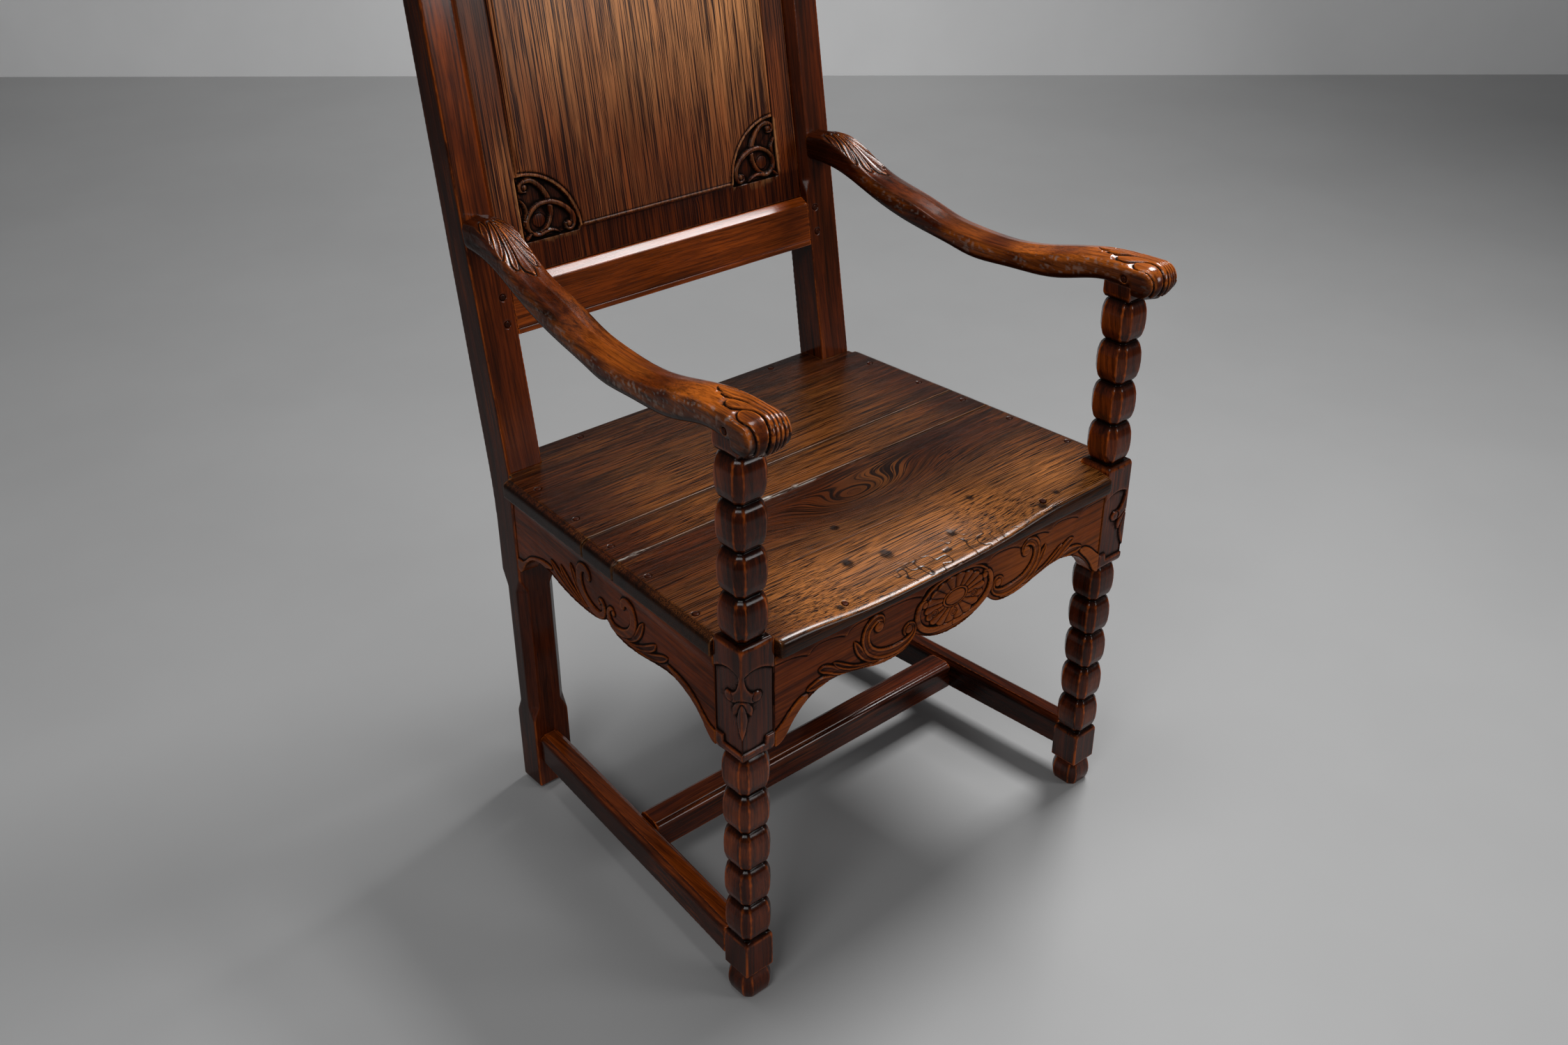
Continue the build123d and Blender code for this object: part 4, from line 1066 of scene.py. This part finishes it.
def back_places(points):
    """Across, up the lean from the seat's top, and depth behind the posts' front faces."""
    lean = bpy.context.scene.wainscot_shape.lean
    seat = node_box("seat_board_rear")[1][2]
    front = node_box("rear_post_left")[0][1]
    back, rise = points[:, 1] - front, points[:, 2] - seat
    up = rise * math.cos(lean) + back * math.sin(lean)
    deep = back * math.cos(lean) - rise * math.sin(lean)
    return points[:, 0], up, deep


def groove(distance, middle, half, deep):
    """Depth of a rounded groove that runs along a line at that distance."""
    return deep * bell(distance - middle, half)


def spandrel_relief(from_side, from_end):
    """The straps, balls and disc that fill a corner of the field."""
    relief = Relief(np.stack([from_side, from_end], axis=1), SPANDREL_SUNK)
    for strap, ball in ((swapped(STRAP), swapped([STRAP_BALL])[0]), (STRAP, STRAP_BALL)):
        relief.stroke(strap)
        relief.ball(*ball)
    relief.stroke(STRAP_CORNER)
    relief.ball(*DISC, DISC_LEVEL)
    return relief


def back_panel():
    """The back panel: a grooved field with sunk and carved corners, and a painted sheen that makes it pale
    towards its top.
    """
    lean = bpy.context.scene.wainscot_shape.lean
    facing = np.array((0, -math.cos(lean), math.sin(lean)))
    piece = Piece("back_panel", 0.85, 51)
    piece.soften(0.7)
    normals = piece.normals()
    across, up, deep = back_places(piece.points)
    from_side = size("field_half") - np.abs(across)
    from_low = up - size("field_low")
    from_end = np.minimum(from_low, size("field_high") - up)
    radius = size("spandrel")
    away = np.hypot(from_side, from_end)

    relief = spandrel_relief(from_side, from_end)
    inside = step(away, radius - 0.2, radius - 1.6) * step(from_side, -2.5, -1.5) * step(from_end, -2.5, -1.5)
    depths = relief.depths(inside) - STRAP_PROUD * step(relief.heights, 1.2, 2.4) * inside
    field = step(from_side, 0, 2) * step(from_end, 0, 2)
    depths += groove(away - radius, *RIM_GROOVE) * field
    from_edge = np.minimum(from_side, from_end)
    depths += groove(from_edge, *FIELD_GROOVE) * step(away, radius + 2, radius + 5)
    piece.press(facing, depths, normals)
    piece.wave(size("hand_waves") * 1.4, 70.0)

    in_front = step(normals @ facing, 0.1, 0.5)
    in_corner = step(away, radius + 1, radius - 3) * step(from_side, -4, -1) * step(from_end, -4, -1)
    cloud = step(drift(piece.points * (1, 1, 0.3), 60.0, 52), -0.3, 0.8)
    piece.rub = 1 - (0.45 + 0.43 * in_corner) * in_front
    # Painted sheen: the field is painted paler towards its top and its right, in clouds.
    piece.touch = (0.12 + 0.88 * step(up, 300, 470)) * (0.55 + 0.45 * cloud) * field * (1 - in_corner)
    piece.touch *= 0.4 + 0.6 * step(across, -180, 20)
    piece.touch = np.maximum(piece.touch, 0.05 * step(from_side, 1, -1) * step(from_low, 0, 60)) * in_front
    piece.lay_dirt_and_shade(in_corner * (0.4 + 0.2 * step(relief.heights, 1.6, 0.6)))
    # Darker below the field.
    piece.lay_dirt_and_shade(0.5 * step(from_low, 1, -1))
    for middle, rise, wide, tall in PANEL_STAINS:
        stain = step(np.hypot((across - middle) / wide, (up - rise) / tall), 1.2, 0.3)
        piece.lay_dirt_and_shade(0.55 * stain * (0.4 + 0.6 * cloud))
    # The faces that don't look forward are darker.
    piece.grime = np.maximum(0.3 * (1 - in_front), piece.grime * in_front)
    piece.finish("panel_oak", up, across, deep)


# ---------------------------------------------------------------- seat
# Marks on the front board, across and back from its front edge, with a radius or half sizes.
SEAT_DENTS = (
    (-100, 70, 6), (-55, 58, 7), (-65, 128, 5), (30, 45, 5), (142, 14, 5), (175, 22, 4), (-160, 16, 4),
    (95, 80, 4))
DENT_DEPTH = 0.5
GNAWED = ((-5, 16), (75, 20))
GNAWED_DEPTH = 0.5
GRAIN_LOOPS = ((10, 156), (110, 36))    # where the grain closes into loops
GRAIN_SHIFT = 50.0
DARK_PATCH = ((5, 145), (85, 42))
CRACK = (102.0, 0.03, 0.9)              # how far back, its slant and its half width
CRACK_DEPTH = 0.35
# The front edge, worn down: how far, its middle, and its half sizes across and back.
SAG, SAG_MIDDLE, SAG_HALF = 11.0, -35.0, (150.0, 70.0)
NOSE_ROUND = 3.6                        # reach of its rounding
NOSE = (26.0, 12.0)                     # how far back the rounding ends, and is full
# Where dry wax fills the joints: from, to, and how far behind the front edge.
SEAT_DUST = ((-295, -205, 226), (-100, 60, 226), (60, 250, 295))
DUST_HALF, DIRT_HALF = 2.3, 3.5         # half widths of the dry wax and of the dirt beside a joint


def sagged(points):
    """The points with the front board's front edge worn down, and its underside as it was."""
    low, high = node_box("seat_board_front")
    across, back, height = points.T
    half_across, half_back = SAG_HALF
    down = SAG * np.exp(-((across - SAG_MIDDLE) / half_across) ** 4 - ((back - low[1]) / half_back) ** 2)
    share = np.clip((height - low[2]) / (high[2] - low[2]), 0, 1)
    return np.stack([across, back, height - down * share], axis=1)


def round_nose(piece):
    """Wears the front board's front edge down and rounds it."""
    piece.points = sagged(piece.points)
    rounder = smoothed(piece.points, piece.edges, piece.rounds(NOSE_ROUND))
    close = step(piece.points[:, 1] - node_box(piece.node)[0][1], *NOSE)[:, None]
    piece.points = piece.points * (1 - close) + rounder * close


def mark_front_board(piece, normals, across, place):
    """Dents, gnawed marks, dark patch, crack and wear of the front board; gives their depths."""
    depths = np.zeros(len(across))
    for dent_across, dent_place, radius in SEAT_DENTS:
        away = np.hypot(across - dent_across, place - dent_place)
        depths += DENT_DEPTH * bell(away, radius)
        piece.lay_dirt_and_shade(0.95 * step(away, radius + 3, radius - 2))
    gnawed = spot(across, place, *GNAWED)
    marks = step(np.abs(drift(piece.points * (1, 0.7, 1), 8.0, piece.seed + 9)), 0.13, 0.03)
    depths += GNAWED_DEPTH * gnawed * marks
    piece.lay_dirt_and_shade(step(gnawed, 0.15, 0.5) * marks)
    piece.lay_dirt_and_shade(0.6 * spot(across, place, *DARK_PATCH))
    crack_back, slant, half = CRACK
    crack = bell(place - crack_back + slant * across, half) * step(across, -170, -150) * step(across, 25, 5)
    depths += CRACK_DEPTH * crack
    piece.lay_dirt_and_shade(0.9 * crack)
    # The nose's front face is kept from wear and darkened with painted shade.
    nose = step(-normals[:, 1], 0.45, 0.85)
    gold = step(place, 150, 60) * step(np.abs(across - 15), 270, 190)
    piece.touch = (0.6 * gold + 0.15 * step(place, 200, 120)) * (1 - 0.8 * nose)
    piece.lay_dirt_and_shade(0.65 * nose)
    return depths


def fill_joints(piece, first):
    """Dirt along a board's joints, and dry wax in stretches of them."""
    low, high = node_box(piece.node)
    across, back, height = piece.points.T
    clumps = step(drift(piece.points * (0.35, 1, 1), 7.0, piece.seed + 20), -0.3, 0.3)
    for edge in (low[1], high[1]):
        joint = bell(back - edge, DUST_HALF) * step(height, high[2] - 9, high[2] - 1)
        for start, stop, place in SEAT_DUST:
            if abs(edge - first - place) < 8:
                stretch = step(across, start, start + 25) * step(across, stop, stop - 25)
                piece.dust = np.maximum(piece.dust, joint * clumps * stretch)
        if edge > first + 50:
            piece.lay_dirt_and_shade(0.8 * bell(back - edge, DIRT_HALF))


def seat_board(node, seed):
    """A seat board: open grain, old wax in its joints and, in front, a worn and marked nose."""
    piece = Piece(node, 0.95, seed)
    piece.soften(0.9, solid_boxes("seat_pegs"))
    in_front = node == "seat_board_front"
    if in_front:
        round_nose(piece)
    normals = piece.normals()
    across, back, height = piece.points.T
    first = node_box("seat_board_front")[0][1]
    place = back - first
    grain_aside = back.copy()
    if in_front:
        grain_aside += GRAIN_SHIFT * spot(across, place, *GRAIN_LOOPS)
        depths = mark_front_board(piece, normals, across, place)
        piece.press((0, 0, 1), depths * step(normals[:, 2], 0.4, 0.9), normals)
    else:
        piece.touch = 0.32 * step(np.abs(across), 270, 120) * step(place, 520, 300)
        # Darker towards the back.
        piece.lay_dirt_and_shade(0.35 * step(place, 260, 480))
    piece.wave(size("hand_waves"), 80.0)
    fill_joints(piece, first)
    # Darker at the board ends.
    piece.lay_dirt_and_shade(0.4 * step(np.abs(across), 283, 290))
    # Painted shade on the faces that look sideways.
    piece.lay_dirt_and_shade(0.75 * step(np.abs(normals[:, 0]), 0.5, 0.8))
    piece.finish("seat_oak", across, grain_aside, height)


# ---------------------------------------------------------------- operators
class WainscotOperator:
    """What every operator of this chair shares."""

    bl_options = {"REGISTER", "UNDO"}


class WAINSCOT_OT_arms(WainscotOperator, bpy.types.Operator):
    """Adds the two arms with their rolled and carved hand-rests"""

    bl_idname = "wainscot.arms"
    bl_label = "Arms"

    def execute(self, context):
        arm("arm_left", 11, -1, 0.0)
        arm("arm_right", 12, 1, -4.0)
        return {"FINISHED"}


class WAINSCOT_OT_front_posts(WainscotOperator, bpy.types.Operator):
    """Adds the two beaded front posts with their carved blocks"""

    bl_idname = "wainscot.front_posts"
    bl_label = "Front posts"

    def execute(self, context):
        front_post("front_post_left", 21, -1, 0.0)
        front_post("front_post_right", 22, 1, 7.0)
        return {"FINISHED"}


class WAINSCOT_OT_rear_posts(WainscotOperator, bpy.types.Operator):
    """Adds the two rear posts"""

    bl_idname = "wainscot.rear_posts"
    bl_label = "Rear posts"

    def execute(self, context):
        pegs = ("back_rail_pegs", "top_rail_pegs")
        for seed, node in enumerate(("rear_post_left", "rear_post_right"), 31):
            # A faint painted sheen on the faces that don't look sideways, painted shade on those that do.
            plain_piece(node, seed, upright, cell=1.1, soften=0.8, pegs=pegs, touch=0.05, shade=0.55)
        return {"FINISHED"}


class WAINSCOT_OT_rails(WainscotOperator, bpy.types.Operator):
    """Adds the top and bottom rails of the back"""

    bl_idname = "wainscot.rails"
    bl_label = "Back rails"

    def execute(self, context):
        for seed, node in enumerate(("back_bottom_rail", "top_rail"), 41):
            plain_piece(node, seed, crosswise, soften=0.4, touch=0.3)
        return {"FINISHED"}


class WAINSCOT_OT_panel(WainscotOperator, bpy.types.Operator):
    """Adds the fielded back panel with its carved corners"""

    bl_idname = "wainscot.panel"
    bl_label = "Back panel"

    def execute(self, context):
        back_panel()
        return {"FINISHED"}


class WAINSCOT_OT_seat(WainscotOperator, bpy.types.Operator):
    """Adds the three seat boards"""

    bl_idname = "wainscot.seat"
    bl_label = "Seat boards"

    def execute(self, context):
        for seed, node in enumerate(("seat_board_front", "seat_board_middle", "seat_board_rear"), 61):
            seat_board(node, seed)
        return {"FINISHED"}


class WAINSCOT_OT_aprons(WainscotOperator, bpy.types.Operator):
    """Adds the front, side and rear aprons"""

    bl_idname = "wainscot.aprons"
    bl_label = "Aprons"

    def execute(self, context):
        front_apron()
        side_apron("side_apron_left", 73, -1)
        side_apron("side_apron_right", 74, 1)
        plain_piece("rear_apron", 72, crosswise, cell=1.5, slot="apron_oak")
        return {"FINISHED"}


class WAINSCOT_OT_stretchers(WainscotOperator, bpy.types.Operator):
    """Adds the side stretchers and the cross stretcher"""

    bl_idname = "wainscot.stretchers"
    bl_label = "Stretchers"

    def execute(self, context):
        # Painted shade on the faces that look sideways.
        plain_piece("side_stretcher_left", 81, lengthwise, soften=0.7, touch=0.3, shade=0.5)
        plain_piece("side_stretcher_right", 82, lengthwise, soften=0.7, shade=0.5)
        plain_piece("cross_stretcher", 83, crosswise, soften=0.7)
        return {"FINISHED"}


class WAINSCOT_OT_pegs(WainscotOperator, bpy.types.Operator):
    """Adds the pegs of the rails, the arms and the seat"""

    bl_idname = "wainscot.pegs"
    bl_label = "Pegs"

    def execute(self, context):
        for seed, node in enumerate(("back_rail_pegs", "top_rail_pegs", "arm_pegs", "seat_pegs"), 91):
            plain_piece(node, seed, boardwise, cell=0.5, slot="peg_oak", soften=0.5)
        return {"FINISHED"}


# ---------------------------------------------------------------- stage
FLOOR_HALF = 9.0                # in metres, as all of the stage
WALL_AWAY, WALL_HALF, WALL_HEIGHT = 5.2, 9.0, 1.4       # from below the camera
# Lamps: name, place, what it points at, size, and watts.
LAMPS = (
    ("right_light", (1.75, 0.2, 3.2), (-2.5, 0, 0.45), (1.1, 1.2), 128),
    ("top_light", (-0.2, 0.1, 2.9), (0, 0, 0.4), (0.8, 0.8), 20),
    ("left_light", (-2.1, -1.2, 2.6), (-0.3, 0, 0.2), (1.0, 0.8), 30),
    ("front_light", (1.5, -2.3, 1.6), (0, 0.1, 0.8), (0.9, 0.7), 20),
    ("wall_light", (2.2, 2.4, 2.4), (3.2, 3.9, 0.7), (1.6, 0.5), 34),
)
ROOM_LIGHT = (0.95, 0.97, 1.0, 1.0)
ROOM_STRENGTH = 0.12


def plain_paint(name, shade, roughness):
    """Matt paint with a faint cloudiness."""
    make = Recipe(name)
    cloud = make.noise(make.tree.nodes.new("ShaderNodeTexCoord").outputs["Object"], 1.4, 4.0, 0.6)
    soft = make.mix(make.span(cloud, 0.3, 0.7), tuple(0.94 * c for c in shade), tuple(shade))
    make.set(make.shader.inputs["Base Color"], soft)
    make.shader.inputs["Roughness"].default_value = roughness
    return make.material


def flat_sheet(name, corners, material):
    """A flat four-cornered sheet of the stage."""
    mesh = bpy.data.meshes.new(name)
    mesh.from_pydata(corners, [], [(0, 1, 2, 3)])
    mesh.materials.append(material)
    sheet = bpy.data.objects.new(name, mesh)
    bpy.context.scene.collection.objects.link(sheet)


def soft_lamp(name, place, aim, sides, power):
    """A flat lamp with those sides that points at aim."""
    lamp = bpy.data.lights.new(name, "AREA")
    lamp.shape = "RECTANGLE"
    lamp.size, lamp.size_y = sides
    lamp.energy = power
    holder = bpy.data.objects.new(name, lamp)
    holder.location = place
    holder.rotation_euler = (Vector(aim) - Vector(place)).to_track_quat("-Z", "Y").to_euler()
    bpy.context.scene.collection.objects.link(holder)


class WAINSCOT_OT_stage(WainscotOperator, bpy.types.Operator):
    """Adds the floor, the wall, the lamps and the camera"""

    bl_idname = "wainscot.stage"
    bl_label = "Stage"

    def execute(self, context):
        stage = context.scene.wainscot_stage
        place = Vector(stage.camera_place)
        heading = Vector((math.sin(stage.camera_turn), math.cos(stage.camera_turn), 0))
        side = Vector((heading.y, -heading.x, 0))
        floor = plain_paint("pale_floor", stage.floor, 0.6)
        corners = [(-1, -1), (1, -1), (1, 1), (-1, 1)]
        flat_sheet("floor", [(FLOOR_HALF * x, FLOOR_HALF * y, 0) for x, y in corners], floor)
        wall = plain_paint("pale_wall", stage.wall, 0.8)
        foot = Vector((place.x, place.y, 0)) + WALL_AWAY * heading
        corners = [foot - WALL_HALF * side, foot + WALL_HALF * side]
        corners += [c + Vector((0, 0, WALL_HEIGHT)) for c in reversed(corners)]
        flat_sheet("wall", [tuple(c) for c in corners], wall)

        for lamp in LAMPS:
            soft_lamp(*lamp)
        world = bpy.data.worlds.new("soft_room")
        context.scene.world = world
        world.use_nodes = True
        background = world.node_tree.nodes["Background"]
        background.inputs["Color"].default_value = ROOM_LIGHT
        background.inputs["Strength"].default_value = ROOM_STRENGTH

        lens = bpy.data.cameras.new("view")
        lens.lens = stage.lens
        lens.sensor_width = 36.0
        lens.clip_end = 50.0
        camera = bpy.data.objects.new("view", lens)
        camera.matrix_world = (
            Matrix.Translation(place) @ Matrix.Rotation(-stage.camera_turn, 4, "Z")
            @ Matrix.Rotation(math.pi / 2 - stage.camera_dip, 4, "X")
            @ Matrix.Rotation(stage.camera_roll, 4, "Z"))
        context.scene.collection.objects.link(camera)
        context.scene.camera = camera
        context.scene.view_settings.view_transform = "Standard"
        return {"FINISHED"}


# ---------------------------------------------------------------- panel and registration
OPERATORS = (
    WAINSCOT_OT_stage,
    WAINSCOT_OT_arms,
    WAINSCOT_OT_front_posts,
    WAINSCOT_OT_rear_posts,
    WAINSCOT_OT_rails,
    WAINSCOT_OT_panel,
    WAINSCOT_OT_seat,
    WAINSCOT_OT_aprons,
    WAINSCOT_OT_stretchers,
    WAINSCOT_OT_pegs,
)
SETTINGS = (
    ("wainscot_oak", WAINSCOT_PG_oak),
    ("wainscot_shape", WAINSCOT_PG_shape),
    ("wainscot_stage", WAINSCOT_PG_stage),
)


class WAINSCOT_PT_chair(bpy.types.Panel):
    """Lists the chair's pieces and settings"""

    bl_idname = "WAINSCOT_PT_chair"
    bl_label = "Wainscot Chair"
    bl_space_type = "VIEW_3D"
    bl_region_type = "UI"
    bl_category = LIBRARY_TAB

    def draw(self, context):
        for operator in OPERATORS:
            self.layout.operator(operator.bl_idname)
        for name, group in SETTINGS:
            box = self.layout.box()
            for setting in group.__annotations__:
                box.prop(getattr(context.scene, name), setting)


def register():
    for name, group in SETTINGS:
        bpy.utils.register_class(group)
        setattr(bpy.types.Scene, name, PointerProperty(type=group))
    for operator in OPERATORS:
        bpy.utils.register_class(operator)
    bpy.utils.register_class(WAINSCOT_PT_chair)


def unregister():
    bpy.utils.unregister_class(WAINSCOT_PT_chair)
    for operator in reversed(OPERATORS):
        bpy.utils.unregister_class(operator)
    for name, group in reversed(SETTINGS):
        delattr(bpy.types.Scene, name)
        bpy.utils.unregister_class(group)


def main():
    """Adds the stage and every piece of the chair."""
    register()
    bpy.ops.wainscot.stage()
    bpy.ops.wainscot.arms()
    bpy.ops.wainscot.front_posts()
    bpy.ops.wainscot.rear_posts()
    bpy.ops.wainscot.rails()
    bpy.ops.wainscot.panel()
    bpy.ops.wainscot.seat()
    bpy.ops.wainscot.aprons()
    bpy.ops.wainscot.stretchers()
    bpy.ops.wainscot.pegs()


if __name__ == "__main__":
    main()
